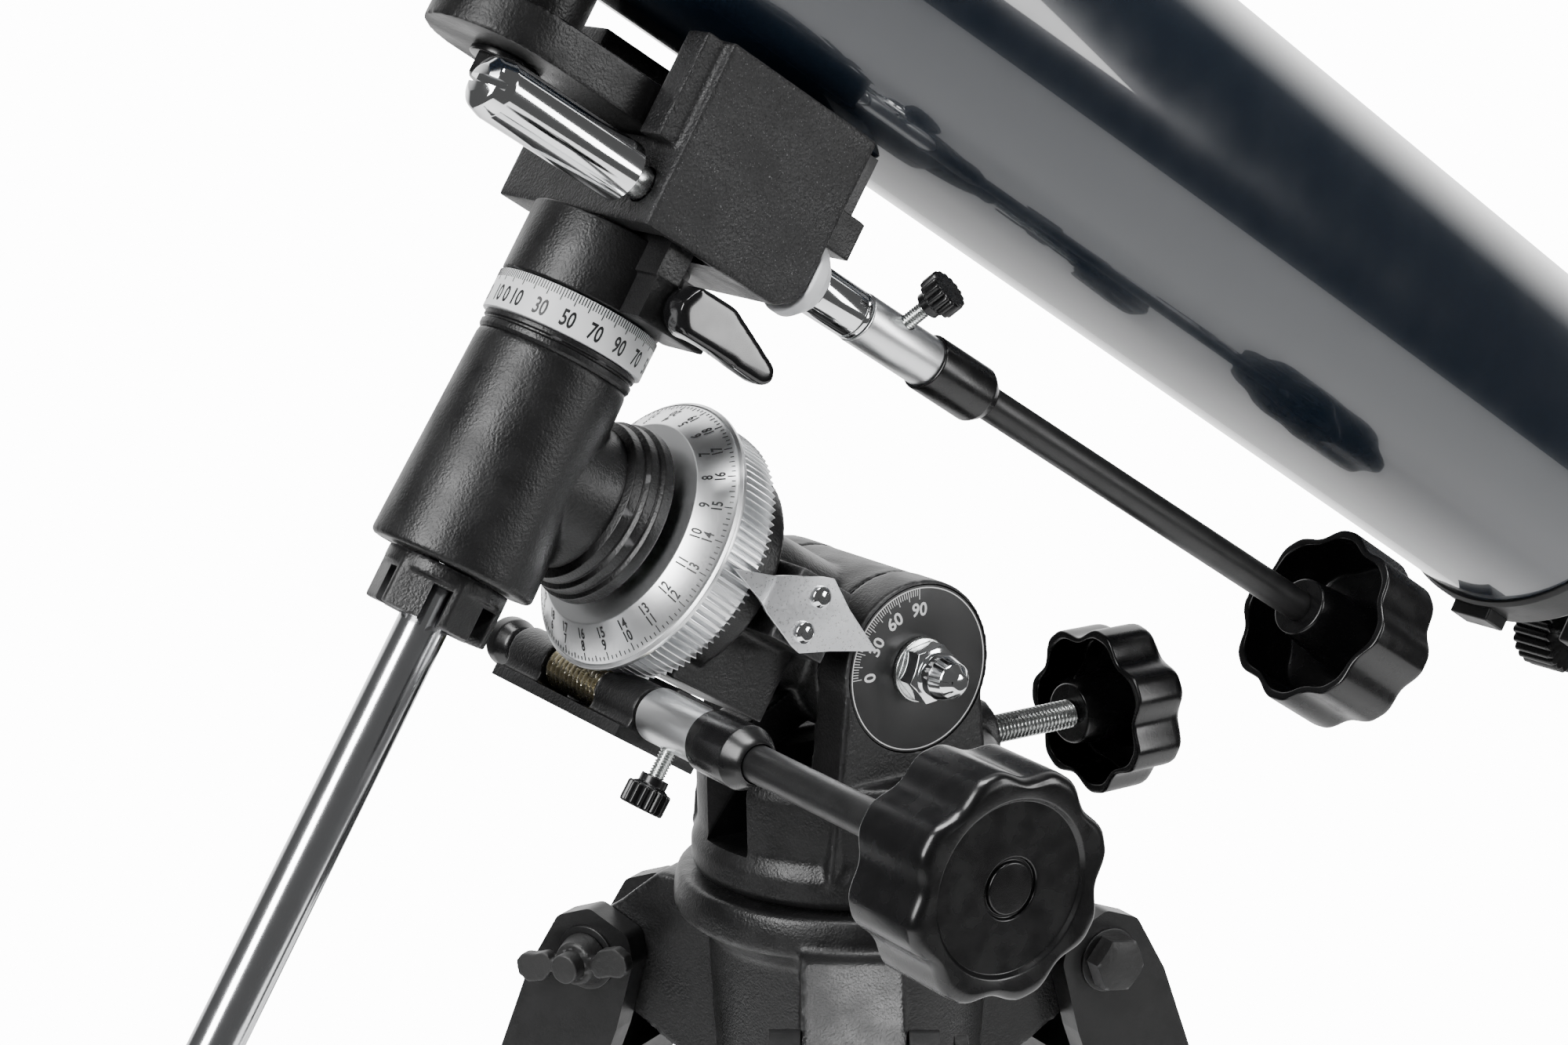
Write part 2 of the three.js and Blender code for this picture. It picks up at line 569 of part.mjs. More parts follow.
function addDecHead() {
  const at = [DEC_S, 0, 0];
  const face = new THREE.Shape();
  face.moveTo(81.8, 102.4);
  face.lineTo(128.5, 102.4);
  face.lineTo(128.5, 57.2);
  face.lineTo(88, 57.2);
  face.lineTo(83.5, 60);
  face.lineTo(81.8, 64);
  const body = join(
    prism(face, -32, -20.5),
    prism(face, 20.5, 32),
    prism([[128.5, 57.2], [88, 57.2], [83.5, 60], [83.5, 77.6], [128.5, 77.6]], -21, 21),
    block(128, 134, 76, 102, -29, -20.5),
    rod(9, 1, 60, "y", at, 32),
  );
  add(polar, "dec_head", BLACK_CAST, cut(
    body,
    block(107, 122, 50, 80, -30.3, -11),
    rod(4.4, 60, 110, "x", [0, DEC_SCREW_D, DEC_SCREW_Y], 20),
    rod(4.4, 120, 140, "x", [0, SPRING_D, DEC_SCREW_Y], 20),
    rod(TUBE_R + 0.4, 60, 150, "x", [0, TUBE_D, 0], 40),
  ));

  const plan = new THREE.Shape();
  plan.moveTo(66, -19.8);
  plan.lineTo(161, -19.8);
  plan.absarc(161, 0, 19.8, -Math.PI / 2, Math.PI / 2, false);
  plan.lineTo(66, 19.8);
  const bar = prism(plan, BAR_LOW, BAR_HIGH, "y");
  const [frontHole, rearHole] = [160, 74.5].map((s) => rod(4.3, 70, 95, "y", [s, 0, 0], 20));
  add(polar, "saddle_bar", BLACK_CAST, cut(bar, frontHole, rearHole));

  const tubeRoom = rod(TUBE_R + 0.3, 0, 250, "x", [0, TUBE_D, 0], 40);
  const frontBolt = rod(4.3, 70, 99.5, "y", [160, 0, 0], 20);
  const rearBolt = rod(4.3, 70, 99.5, "y", [74.5, 0, 0], 20);
  add(polar, "tube_foot_front", BLACK_CAST, cut(
    rod(12, BAR_HIGH + GAP, 104, "y", [160, 0, 0], 24), tubeRoom, frontBolt,
  ));
  add(polar, "tube_foot_rear", BLACK_CAST, cut(
    block(66.5, 81, BAR_HIGH + GAP, 104, -14, 14), tubeRoom, rearBolt,
  ));
  addSaddleBolt("saddle_bolt_front", 160);
  addSaddleBolt("saddle_bolt_rear", 74.5);

  const housing = turned(
    [
      [4.5, 134.3], [7.2, 134.3], [7.2, 171], [6, 175], [3.4, 177], [0, 177.4], [0, 168], [4.5, 168],
    ],
    "x", [0, SPRING_D, DEC_SCREW_Y], 20,
  );
  const slot = block(174.5, 180, SPRING_D - 1, SPRING_D + 1, -40, 0);
  add(polar, "spring_housing", CHROME, cut(housing, slot));
  add(polar, "spring_plunger", ZINC, turned(
    [[0, 118.8], [2.2, 118.8], [4, 121], [4, 160], [0, 160]], "x", [0, SPRING_D, DEC_SCREW_Y], 20,
  ));
}

function addSaddleBolt(name, s) {
  const head = moved(
    prism(hexagon(12), -BAR_LOW + 1.8, -BAR_LOW + 7),
    new THREE.Matrix4().makeRotationX(Math.PI / 2).setPosition(s, 0, 0),
  );
  add(polar, name, BLACK_PLASTIC, join(
    rod(4, 73, 99, "y", [s, 0, 0], 20), head, rod(8.5, BAR_LOW - 1.9, BAR_LOW - GAP, "y", [s, 0, 0], 24),
  ));
}

function addDecScrew() {
  const at = [0, DEC_SCREW_D, DEC_SCREW_Y];
  add(polar, "dec_collar", WHITE_NYLON, turned(
    [[4.4, 75.3], [7, 75.3], [9.6, 78.5], [9.6, 81.5], [4.4, 81.5]], "x", at, 20,
  ));
  add(polar, "dec_screw", CHROME, turned(
    [
      [0, 42], [4, 42], [4, 59.7], [6.2, 59.7], [6.2, 74.9], [4, 74.9], [4, 105], [2, 107.6], [0, 107.6],
    ],
    "x", at, 20,
  ));
  const handle = turned(
    [
      [0, -141], [4.3, -141], [4.3, 12], [7.25, 16.3], [7.25, 34.8], [6.4, 34.8], [6.4, 59.3], [0, 59.3],
    ],
    "x", at, 20,
  );
  const knob = moved(
    cupKnob(25, 8, -122, -139, -145, 8, -116),
    new THREE.Matrix4().makeRotationY(Math.PI / 2).setPosition(...at),
  );
  const aim = new THREE.Vector3(0, 0.75, -0.66).normalize();
  const toAim = new THREE.Matrix4().makeRotationFromQuaternion(
    new THREE.Quaternion().setFromUnitVectors(new THREE.Vector3(0, 0, 1), aim),
  );
  toAim.setPosition(48, DEC_SCREW_D, DEC_SCREW_Y);
  add(polar, "dec_control", BLACK_PLASTIC, cut(
    join(handle, knob),
    rod(4.3, 41, 70, "x", at, 20),
    moved(rod(2.3, 0, 12, "z", [0, 0, 0], 12), toAim),
  ));
  addThumbScrew(polar, "dec_control_screw", [48, DEC_SCREW_D, DEC_SCREW_Y], aim.toArray(), 5, 12.5, 20);
}

// ---- optical tube -------------------------------------------------------------------------------
function addTube() {
  const at = [0, TUBE_D, 0];
  add(polar, "tube", NAVY_GLOSS, ring(TUBE_R - TUBE_WALL, TUBE_R, TUBE_REAR, TUBE_FRONT, "x", at, 40));
  add(polar, "dew_shield", BLACK_CAST, turned(
    [
      [TUBE_R - TUBE_WALL - 3, TUBE_FRONT + 0.4], [53, TUBE_FRONT + 0.4],
      [54.5, TUBE_FRONT + 3], [54.5, 468], [53.5, 470], [51.5, 470],
      [51.5, TUBE_FRONT + 22], [TUBE_R - TUBE_WALL - 3, TUBE_FRONT + 22],
    ],
    "x", at, 32,
  ));
  add(polar, "objective", GLASS, turned(
    [[0, 362], [18, 363.6], [41, 367.5], [41, 377], [41, 380], [18, 384], [0, 385.6]], "x", at, 32,
  ));

  const body = turned(
    [
      [22.5, -300], [28.5, -300], [28.5, -243], [33, -238], [46, -219], [47.6, -216], [47.6, -204.6],
      [46.6, TUBE_REAR - 0.4], [22.5, TUBE_REAR - 0.4],
    ],
    "x", at, 32,
  );
  const pinionBox = block(-299, -262, TUBE_D - 38, TUBE_D - 24, -13, 13);
  const throat = rod(22.5, -310, -190, "x", at, 24);
  const pinionHole = rod(3.4, -60, 60, "z", [-282, TUBE_D - 30, 0], 20);
  const boss = block(-214.5, -205.5, TUBE_D - 51, TUBE_D - 44, -7, 7);
  add(polar, "focuser", BLACK_CAST, cut(join(body, pinionBox, boss), throat, pinionHole));

  add(polar, "drawtube", CHROME, join(
    ring(16.6, 22.1, -332, -215, "x", at, 24),
    ring(16.6, 26, -344, -331, "x", at, 24),
  ));
  const grip = (from, to) => prism(lobed(13, 1.2, 12, 4), from, to);
  const knobs = join(rod(3, -38, 38, "z", [0, 0, 0], 16), grip(24, 38), grip(-38, -24));
  add(polar, "focus_knobs", BLACK_PLASTIC, knobs).position.set(-282, TUBE_D - 30, 0);

  const prismBox = [[-346, -20], [-346, 20], [-386, 20], [-386, 8], [-358, -20]];
  const diagonal = join(
    prism(prismBox.map(([s, d]) => [s, TUBE_D + d]), -20, 20),
    ring(12, 15.9, -350, -322, "x", at, 24),
    turned([[0, 19], [18, 19], [18, 48], [0, 48]], "y", [-366, TUBE_D, 0], 24),
  );
  add(polar, "diagonal", GLOSS_BLACK, cut(
    diagonal,
    rod(12, -352, -310, "x", at, 24),
    rod(16.2, 21, 60, "y", [-366, TUBE_D, 0], 24),
  ));
  add(polar, "eyepiece", BLACK_PLASTIC, turned(
    [[0, 24], [15.9, 24], [15.9, 48.4], [20, 48.4], [20, 70], [17, 82], [0, 82]],
    "y", [-366, TUBE_D, 0], 20,
  ));

  const shoe = join(
    block(-196, -150, 0, 12, -16, 16),
    block(-196, -150, 8, 17, -16, -10),
    block(-196, -150, 8, 17, 10, 16),
  );
  const tilt = new THREE.Matrix4().makeRotationX(rad(42));
  tilt.setPosition(0, TUBE_D, 0);
  const raised = moved(moved(shoe, new THREE.Matrix4().makeTranslation(0, TUBE_R - 5, 0)), tilt);
  add(polar, "finder_shoe", BLACK_CAST, cut(raised, rod(TUBE_R + 0.3, -250, 0, "x", at, 40)));
}

addHead();
for (const [key, azimuth] of Object.entries(LEG_AZIMUTHS)) addLeg(key, azimuth);
addFork();
addJackBolt();
addPolarHousing();
addWormDrive();
addWheel();
addDecHousing();
addDecClamp();
addDecHead();
addDecScrew();
addTube();

// Stand the model on the floor with its bounding box centred over the origin.
model.updateMatrixWorld(true);
const box = new THREE.Box3().setFromObject(model, true);
const centre = box.getCenter(new THREE.Vector3());
mount.position.set(-centre.x, -centre.y, -box.min.z);
model.updateMatrixWorld(true);

export default model;
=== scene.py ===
"""Looks for a refractor telescope on a German equatorial mount and a three-leg stand (Blender 4.5)."""
import json
import math

import bmesh
import bpy
from mathutils import Matrix, Vector


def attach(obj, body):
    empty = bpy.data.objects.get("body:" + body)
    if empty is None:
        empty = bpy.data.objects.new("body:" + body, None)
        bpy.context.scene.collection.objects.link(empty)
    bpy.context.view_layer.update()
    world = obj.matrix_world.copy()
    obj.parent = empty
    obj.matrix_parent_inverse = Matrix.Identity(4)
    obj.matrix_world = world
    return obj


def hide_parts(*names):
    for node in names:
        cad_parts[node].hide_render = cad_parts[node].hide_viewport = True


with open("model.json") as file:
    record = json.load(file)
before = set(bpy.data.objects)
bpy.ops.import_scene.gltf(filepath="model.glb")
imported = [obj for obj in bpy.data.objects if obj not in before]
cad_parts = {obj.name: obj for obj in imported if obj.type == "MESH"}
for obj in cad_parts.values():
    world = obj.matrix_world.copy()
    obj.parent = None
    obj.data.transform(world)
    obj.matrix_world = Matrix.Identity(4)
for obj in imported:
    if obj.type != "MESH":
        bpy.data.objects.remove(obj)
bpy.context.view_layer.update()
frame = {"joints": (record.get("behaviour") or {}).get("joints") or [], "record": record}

MM = 0.001
TAU = 2 * math.pi
JOINTS = {joint["name"]: joint for joint in frame["joints"]}


# ---- places --------------------------------------------------------------------------------------
def joint_point(name):
    return Vector(JOINTS[name]["pos_m"])


def joint_axis(name):
    return Vector(JOINTS[name]["axis"]).normalized()


def place(origin, x, y, z):
    """A matrix that takes local millimetres to the model's metres."""
    turn = Matrix((x, y, z)).transposed().to_4x4()
    return Matrix.Translation(origin) @ turn @ Matrix.Scale(MM, 4)


POLE = joint_axis("right_ascension")
DEC = joint_axis("declination")
SIDE = POLE.cross(DEC).normalized()
PIVOT = joint_point("latitude")
UP = Vector((0, 0, 1))
MOUNT = place(PIVOT, Vector((1, 0, 0)), Vector((0, 1, 0)), UP)
POLAR = place(joint_point("right_ascension"), POLE, DEC, SIDE)
WORM_AXIS = joint_axis("ra_worm")
WORM = place(joint_point("right_ascension"), POLE, WORM_AXIS.cross(POLE), WORM_AXIS)

TO_AXIS = {
    "z": Matrix.Identity(4),
    "x": Matrix(((0, 0, 1, 0), (1, 0, 0, 0), (0, 1, 0, 0), (0, 0, 0, 1))),
    "y": Matrix(((0, 1, 0, 0), (0, 0, 1, 0), (1, 0, 0, 0), (0, 0, 0, 1))),
}


# ---- mesh building in local millimetres ----------------------------------------------------------
def oriented(bm, axis="z", at=(0, 0, 0)):
    bm.transform(Matrix.Translation(at) @ TO_AXIS[axis])
    bmesh.ops.recalc_face_normals(bm, faces=bm.faces)
    return bm


def fillet(points, radius, steps=4, closed=False):
    """Rounds the corners of a path of 2-D points. A third value in a point is its own radius."""
    out = []
    count = len(points)
    for i, point in enumerate(points):
        here = Vector(point[:2])
        r = point[2] if len(point) > 2 else radius
        if (not closed and i in (0, count - 1)) or r <= 0:
            out.append(tuple(here))
            continue
        a = Vector(points[i - 1][:2]) - here
        b = Vector(points[(i + 1) % count][:2]) - here
        if a.length < 1e-6 or b.length < 1e-6:
            out.append(tuple(here))
            continue
        half = a.angle(b) / 2
        if half > math.pi / 2 - 0.02:
            out.append(tuple(here))
            continue
        reach = min(r / math.tan(half), a.length * 0.48, b.length * 0.48)
        start, end = here + a.normalized() * reach, here + b.normalized() * reach
        for k in range(steps + 1):
            t = k / steps
            out.append(tuple(start * (1 - t) ** 2 + here * 2 * t * (1 - t) + end * t ** 2))
    return out


def lathe(profile, axis="z", at=(0, 0, 0), segments=96, wave=None):
    """A solid of revolution from (radius, station) pairs. wave(angle, r, z) may change the radius."""
    bm = bmesh.new()
    loop = profile[0][0] > 1e-6
    rings = []
    for r, z in profile:
        if r < 1e-6:
            rings.append([bm.verts.new((0, 0, z))])
            continue
        ring = []
        for i in range(segments):
            angle = TAU * i / segments
            radius = wave(angle, r, z) if wave else r
            ring.append(bm.verts.new((radius * math.cos(angle), radius * math.sin(angle), z)))
        rings.append(ring)
    pairs = list(zip(rings, rings[1:]))
    if loop:
        pairs.append((rings[-1], rings[0]))
    for low, high in pairs:
        if len(low) == 1 and len(high) == 1:
            continue
        for i in range(segments):
            k = (i + 1) % segments
            if len(low) == 1:
                bm.faces.new((low[0], high[k], high[i]))
            elif len(high) == 1:
                bm.faces.new((low[i], low[k], high[0]))
            else:
                bm.faces.new((low[i], low[k], high[k], high[i]))
    return oriented(bm, axis, at)


def rod(r, low, high, axis="z", at=(0, 0, 0), segments=64, edge=0.25):
    edge = min(edge, r * 0.4, abs(high - low) * 0.4)
    profile = [(0, low, 0), (r, low, edge), (r, high, edge), (0, high, 0)]
    return lathe(fillet(profile, edge, 3), axis, at, segments)


def ring(inner, outer, low, high, axis="z", at=(0, 0, 0), segments=96, edge=0.25):
    profile = [(inner, low), (outer, low), (outer, high), (inner, high)]
    return lathe(fillet(profile, edge, 3, True), axis, at, segments)


def prism(outline, low, high, axis="z", at=(0, 0, 0)):
    """An outline of (u, v) points pushed along local z, then turned so z lies on the axis."""
    bm = bmesh.new()
    bottom = [bm.verts.new((u, v, low)) for u, v in outline]
    top = [bm.verts.new((u, v, high)) for u, v in outline]
    bm.faces.new(bottom[::-1])
    bm.faces.new(top)
    for i in range(len(outline)):
        k = (i + 1) % len(outline)
        bm.faces.new((bottom[i], bottom[k], top[k], top[i]))
    return oriented(bm, axis, at)


def upright(outline, low, high):
    """An outline of (x, z) points pushed along y from low to high."""
    bm = prism(outline, -high, -low)
    bm.transform(Matrix.Rotation(math.pi / 2, 4, "X"))
    bmesh.ops.recalc_face_normals(bm, faces=bm.faces)
    return bm


def box(x0, x1, y0, y1, z0, z1):
    return prism([(x0, y0), (x1, y0), (x1, y1), (x0, y1)], z0, z1)


def moved(bm, matrix):
    bm.transform(matrix)
    return bm


def merged(*parts):
    total = bmesh.new()
    for part in parts:
        mesh = bpy.data.meshes.new("part")
        part.to_mesh(mesh)
        total.from_mesh(mesh)
        bpy.data.meshes.remove(mesh)
        part.free()
    return total


def hexagon(flats, turn=0.0):
    r = flats / math.sqrt(3)
    return [(r * math.cos(TAU * i / 6 + turn), r * math.sin(TAU * i / 6 + turn)) for i in range(6)]


def scratch(bm):
    mesh = bpy.data.meshes.new("scratch")
    bm.to_mesh(mesh)
    bm.free()
    obj = bpy.data.objects.new("scratch", mesh)
    bpy.context.scene.collection.objects.link(obj)
    return obj


def applied(obj, *extra):
    """The object's mesh with its modifiers applied, as a bmesh; the object and its tools are removed."""
    bpy.context.view_layer.update()
    evaluated = obj.evaluated_get(bpy.context.evaluated_depsgraph_get())
    bm = bmesh.new()
    bm.from_mesh(evaluated.to_mesh())
    evaluated.to_mesh_clear()
    for used in (obj, *extra):
        mesh = used.data
        bpy.data.objects.remove(used)
        bpy.data.meshes.remove(mesh)
    return bm


def boolean(bm, operation, *tools):
    obj = scratch(bm)
    others = [scratch(tool) for tool in tools]
    for other in others:
        modifier = obj.modifiers.new("cut", "BOOLEAN")
        modifier.operation = operation
        modifier.solver = "EXACT"
        modifier.object = other
    return applied(obj, *others)


def cut(bm, *tools):
    return boolean(bm, "DIFFERENCE", *tools)


def common(bm, *tools):
    return boolean(bm, "INTERSECT", *tools)


def cast(parts, voxel=0.7, smooth=5, holes=()):
    """Runs solids together as one casting with soft fillets; holes are cut crisp afterwards."""
    obj = scratch(merged(*parts))
    remesh = obj.modifiers.new("cast", "REMESH")
    remesh.mode = "VOXEL"
    remesh.voxel_size = voxel
    soften = obj.modifiers.new("soften", "SMOOTH")
    soften.factor = 0.5
    soften.iterations = smooth
    bm = applied(obj)
    return cut(bm, *holes) if holes else bm


# ---- materials -----------------------------------------------------------------------------------
def shader(name, base, roughness, metallic=0.0, coat=0.0):
    material = bpy.data.materials.new(f"look_{name}")
    material.use_nodes = True
    tree = material.node_tree
    surface = tree.nodes["Principled BSDF"]
    surface.inputs["Base Color"].default_value = (*base, 1)
    surface.inputs["Roughness"].default_value = roughness
    surface.inputs["Metallic"].default_value = metallic
    surface.inputs["Coat Weight"].default_value = coat
    return material, tree, surface


def noise(tree, scale, detail=3.0, stretch=None):
    """Noise in the model's own space; scale is in features per metre."""
    where = tree.nodes.new("ShaderNodeTexCoord")
    mapping = tree.nodes.new("ShaderNodeMapping")
    tree.links.new(where.outputs["Object"], mapping.inputs["Vector"])
    if stretch:
        mapping.inputs["Scale"].default_value = stretch
    texture = tree.nodes.new("ShaderNodeTexNoise")
    texture.inputs["Scale"].default_value = scale
    texture.inputs["Detail"].default_value = detail
    tree.links.new(mapping.outputs["Vector"], texture.inputs["Vector"])
    return texture.outputs["Fac"]


def ramp(tree, source, low, high, start, end):
    node = tree.nodes.new("ShaderNodeMapRange")
    node.inputs["From Min"].default_value = low
    node.inputs["From Max"].default_value = high
    node.inputs["To Min"].default_value = start
    node.inputs["To Max"].default_value = end
    tree.links.new(source, node.inputs["Value"])
    return node.outputs["Result"]


def tinted(tree, surface, factor, low, high):
    mix = tree.nodes.new("ShaderNodeMix")
    mix.data_type = "RGBA"
    mix.inputs[6].default_value = (*low, 1)
    mix.inputs[7].default_value = (*high, 1)
    tree.links.new(factor, mix.inputs[0])
    tree.links.new(mix.outputs[2], surface.inputs["Base Color"])


def bumped(tree, surface, heights, strength, distance):
    previous = None
    for height, share in zip(heights, strength):
        node = tree.nodes.new("ShaderNodeBump")
        node.inputs["Strength"].default_value = share
        node.inputs["Distance"].default_value = distance
        tree.links.new(height, node.inputs["Height"])
        if previous:
            tree.links.new(previous.outputs["Normal"], node.inputs["Normal"])
        previous = node
    tree.links.new(previous.outputs["Normal"], surface.inputs["Normal"])


def cast_paint(name, base, grain, strength, wear, speckle=0.0, roughness=0.4):
    """Black enamel on a casting: fine orange peel, paler worn edges and, where asked, pale speckles."""
    material, tree, surface = shader(name, base, roughness)
    edge = tree.nodes.new("ShaderNodeNewGeometry").outputs["Pointiness"]
    edges = ramp(tree, edge, 0.53, 0.6, 0.0, wear)
    fleck = ramp(tree, noise(tree, 2600, 2.0), 0.66, 0.76, 0.0, speckle)
    both = tree.nodes.new("ShaderNodeMath")
    both.operation = "MAXIMUM"
    tree.links.new(edges, both.inputs[0])
    tree.links.new(fleck, both.inputs[1])
    tinted(tree, surface, both.outputs[0], base, (0.22, 0.22, 0.225))
    tree.links.new(ramp(tree, noise(tree, 90, 2.0), 0.35, 0.65, roughness - 0.06, roughness + 0.08),
                   surface.inputs["Roughness"])
    bumped(tree, surface, [noise(tree, grain, 3.0), noise(tree, grain * 0.3, 2.0)],
           [strength, strength * 0.5], 0.0004)
    return material


def metal(name, base, roughness, stretch=None, strength=0.05, spread=0.04, scale=900):
    material, tree, surface = shader(name, base, roughness, 1.0)
    grain = noise(tree, scale, 3.0, stretch)
    tree.links.new(ramp(tree, grain, 0.3, 0.7, roughness, roughness + spread), surface.inputs["Roughness"])
    bumped(tree, surface, [grain], [strength], 0.0001)
    return material


def moulded(name, base, roughness, strength=0.12, scale=1400, spread=0.08, coat=0.0):
    material, tree, surface = shader(name, base, roughness, 0.0, coat)
    tree.links.new(ramp(tree, noise(tree, 160, 2.0), 0.35, 0.65, roughness, roughness + spread),
                   surface.inputs["Roughness"])
    bumped(tree, surface, [noise(tree, scale, 2.0)], [strength], 0.0001)
    return material


CAST = cast_paint("cast_black", (0.005, 0.005, 0.0053), 1600, 0.35, 0.45, 0.12)
CAST_COARSE = cast_paint("cast_speckled", (0.009, 0.009, 0.0095), 1500, 0.8, 0.8, 0.8, 0.45)
IRON = cast_paint("iron_black", (0.014, 0.014, 0.014), 500, 0.5, 0.3, 0.0, 0.5)
PLASTIC = moulded("plastic_black", (0.004, 0.004, 0.0043), 0.22)
SATIN_PLASTIC = moulded("plastic_satin", (0.006, 0.006, 0.0063), 0.36, 0.25)
GLOSS = moulded("gloss_black", (0.006, 0.006, 0.0065), 0.1, 0.02, 300, 0.04, 0.4)
CHROME = metal("chrome", (0.9, 0.91, 0.92), 0.06, None, 0.003, 0.02, 120)
SHAFT = metal("chrome_shaft", (0.88, 0.89, 0.91), 0.13, None, 0.004, 0.03, 200)
ZINC = metal("zinc", (0.72, 0.74, 0.73), 0.2, None, 0.08, 0.1)
SATIN = metal("aluminium_satin", (0.83, 0.84, 0.86), 0.26, None, 0.1, 0.1, 1600)
TURNED = metal("aluminium_turned", (0.88, 0.89, 0.9), 0.3, None, 0.012, 0.06, 2200)
GEAR = metal("gear_metal", (0.84, 0.85, 0.86), 0.28, None, 0.02, 0.06, 1200)
RAIL = metal("aluminium_rail", (0.72, 0.73, 0.75), 0.34, (30, 30, 1), 0.15, 0.1, 120)
WORM_METAL = metal("worm_metal", (0.66, 0.62, 0.5), 0.22, None, 0.1, 0.12)
NYLON = moulded("nylon_white", (0.8, 0.81, 0.83), 0.4, 0.1)
INK = moulded("ink_black", (0.012, 0.012, 0.013), 0.45, 0.02)
WHITE_INK = moulded("ink_white", (0.8, 0.8, 0.8), 0.5, 0.02)
SCALE = moulded("scale_white", (0.88, 0.89, 0.9), 0.38, 0.15, 1800)
RUBBER = moulded("rubber_black", (0.016, 0.016, 0.016), 0.6, 0.4, 900)
DIAL_BLACK = moulded("dial_black", (0.014, 0.014, 0.0145), 0.36, 0.15)


def navy_paint():
    material, tree, surface = shader("tube_navy", (0.0035, 0.0085, 0.017), 0.3, 0.0, 1.0)
    flake = ramp(tree, noise(tree, 5200, 2.0), 0.3, 0.7, 0.0, 1.0)
    tinted(tree, surface, flake, (0.0028, 0.0068, 0.014), (0.0048, 0.011, 0.021))
    tree.links.new(ramp(tree, noise(tree, 60, 2.0), 0.3, 0.7, 0.18, 0.26), surface.inputs["Roughness"])
    bumped(tree, surface, [noise(tree, 300, 2.0)], [0.015], 0.0002)
    return material


def lens_glass():
    material, tree, surface = shader("lens_glass", (0.75, 0.85, 0.9), 0.02, 0.0, 1.0)
    surface.inputs["Transmission Weight"].default_value = 1.0
    bumped(tree, surface, [noise(tree, 20, 1.0)], [0.005], 0.0001)
    return material


NAVY = navy_paint()
LENS = lens_glass()


# ---- pieces --------------------------------------------------------------------------------------
def piece(name, bm, where, material, body, node, bevel, sharp):
    """A mesh object with one material, rounded edges of width bevel and creases over sharp degrees."""
    bm.transform(where)
    bmesh.ops.recalc_face_normals(bm, faces=bm.faces)
    mesh = bpy.data.meshes.new(name)
    bm.to_mesh(mesh)
    bm.free()
    mesh.materials.append(material)
    for face in mesh.polygons:
        face.use_smooth = True
    mesh.set_sharp_from_angle(angle=math.radians(sharp))
    obj = bpy.data.objects.new(name, mesh)
    bpy.context.scene.collection.objects.link(obj)
    if bevel:
        modifier = obj.modifiers.new("edges", "BEVEL")
        modifier.width = bevel * MM
        modifier.segments = 3
        modifier.limit_method = "ANGLE"
        modifier.angle_limit = math.radians(32)
    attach(obj, body)
    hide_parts(node)
    return obj


def lettering(text, size):
    """Generic digits as flat triangles, centred on the origin, in local millimetres."""
    curve = bpy.data.curves.new("digits", "FONT")
    curve.body = text
    curve.size = size
    curve.align_x = "CENTER"
    curve.align_y = "CENTER"
    curve.resolution_u = 3
    curve.offset = size * 0.022
    obj = bpy.data.objects.new("digits", curve)
    bpy.context.scene.collection.objects.link(obj)
    bpy.context.view_layer.update()
    evaluated = obj.evaluated_get(bpy.context.evaluated_depsgraph_get())
    bm = bmesh.new()
    bm.from_mesh(evaluated.to_mesh())
    evaluated.to_mesh_clear()
    bpy.data.objects.remove(obj)
    bpy.data.curves.remove(curve)
    return bm


def bar_mark(width, length):
    return prism([(-width / 2, 0), (width / 2, 0), (width / 2, length), (-width / 2, length)], -0.02, 0.02)


def wrapped(parts, mapping):
    """Runs flat marks together and bends each vertex onto a surface with mapping(u, v, w)."""
    bm = merged(*parts)
    for vert in bm.verts:
        vert.co = mapping(*vert.co)
    return bm


def hollows(angle, count, width):
    """How deep a point of the rim lies in a hand knob's hollows, from 0 on a ridge to 1 mid-hollow."""
    offset = (angle * count / TAU) % 1.0 - 0.5
    share = abs(offset) * 2 / width
    return math.cos(share * math.pi / 2) ** 2 if share < 1 else 0.0


def cup_knob(radius, count, back, face, hub, hub_from, depth, dished=True):
    """A scalloped knob whose face looks along sign(face - back); its skirt is hollow behind."""
    sign = 1 if face > back else -1
    plate = face - sign * 4.5

    def wave(angle, r, z):
        share = min(1.0, max(0.0, (r / radius - 0.76) / 0.2))
        return r - depth * share * hollows(angle, count, 0.86)

    path = [(0, face - sign * 1.0, 0), (5.4, face - sign * 1.0, 0.4), (5.7, face - sign * 1.9, 0.2),
            (6.3, face - sign * 1.9, 0.2), (6.6, face - sign * 1.1, 0.4)]
    if dished:
        path += [(radius * 0.72, face - sign * 1.5, 0.3), (radius * 0.75, face - sign * 0.5, 0.6)]
    path += [(radius, face, 4.0), (radius + 0.1, back, 0.8), (radius - 2.4, back, 0.8),
             (radius - 3.2, plate, 1.5), (hub + 2.5, plate, 2.0), (hub, hub_from, 0.8), (0, hub_from, 0)]
    return lathe(fillet(path, 0.6, 6), "z", (0, 0, 0), 240, wave)


# ---- measures shared by several pieces, in local millimetres -------------------------------------
PHI = math.atan2(POLE.z, -POLE.x)
KNUCKLE = (1.83 * math.sin(PHI), 1.83 * math.cos(PHI), 0)
JACK_Z = -31
DEC_S = 114.5
DEC_AT = (DEC_S, 0, 0)
DRIVE = (0, 67.4, -23.1)
SPRING = (0, 66, -23.1)
WORM_AT = (61.7, -36, 0)
TUBE_AT = (0, 148.6, 0)
TUBE_R = 46.2
LEVER_AT = (107, 45.5, 0)
WEIGHT_AT = (DEC_S, -222, 0)
FOCUS_AXLE = (-282, 118.6, 0)
EYEPIECE_AT = (-366, TUBE_AT[1], 0)
GEAR_TEETH = 100
GEAR_LEAD = TAU * 31.6 / GEAR_TEETH
BODY = {node: body for body, nodes in frame["record"]["behaviour"]["bodies"].items() for node in nodes}


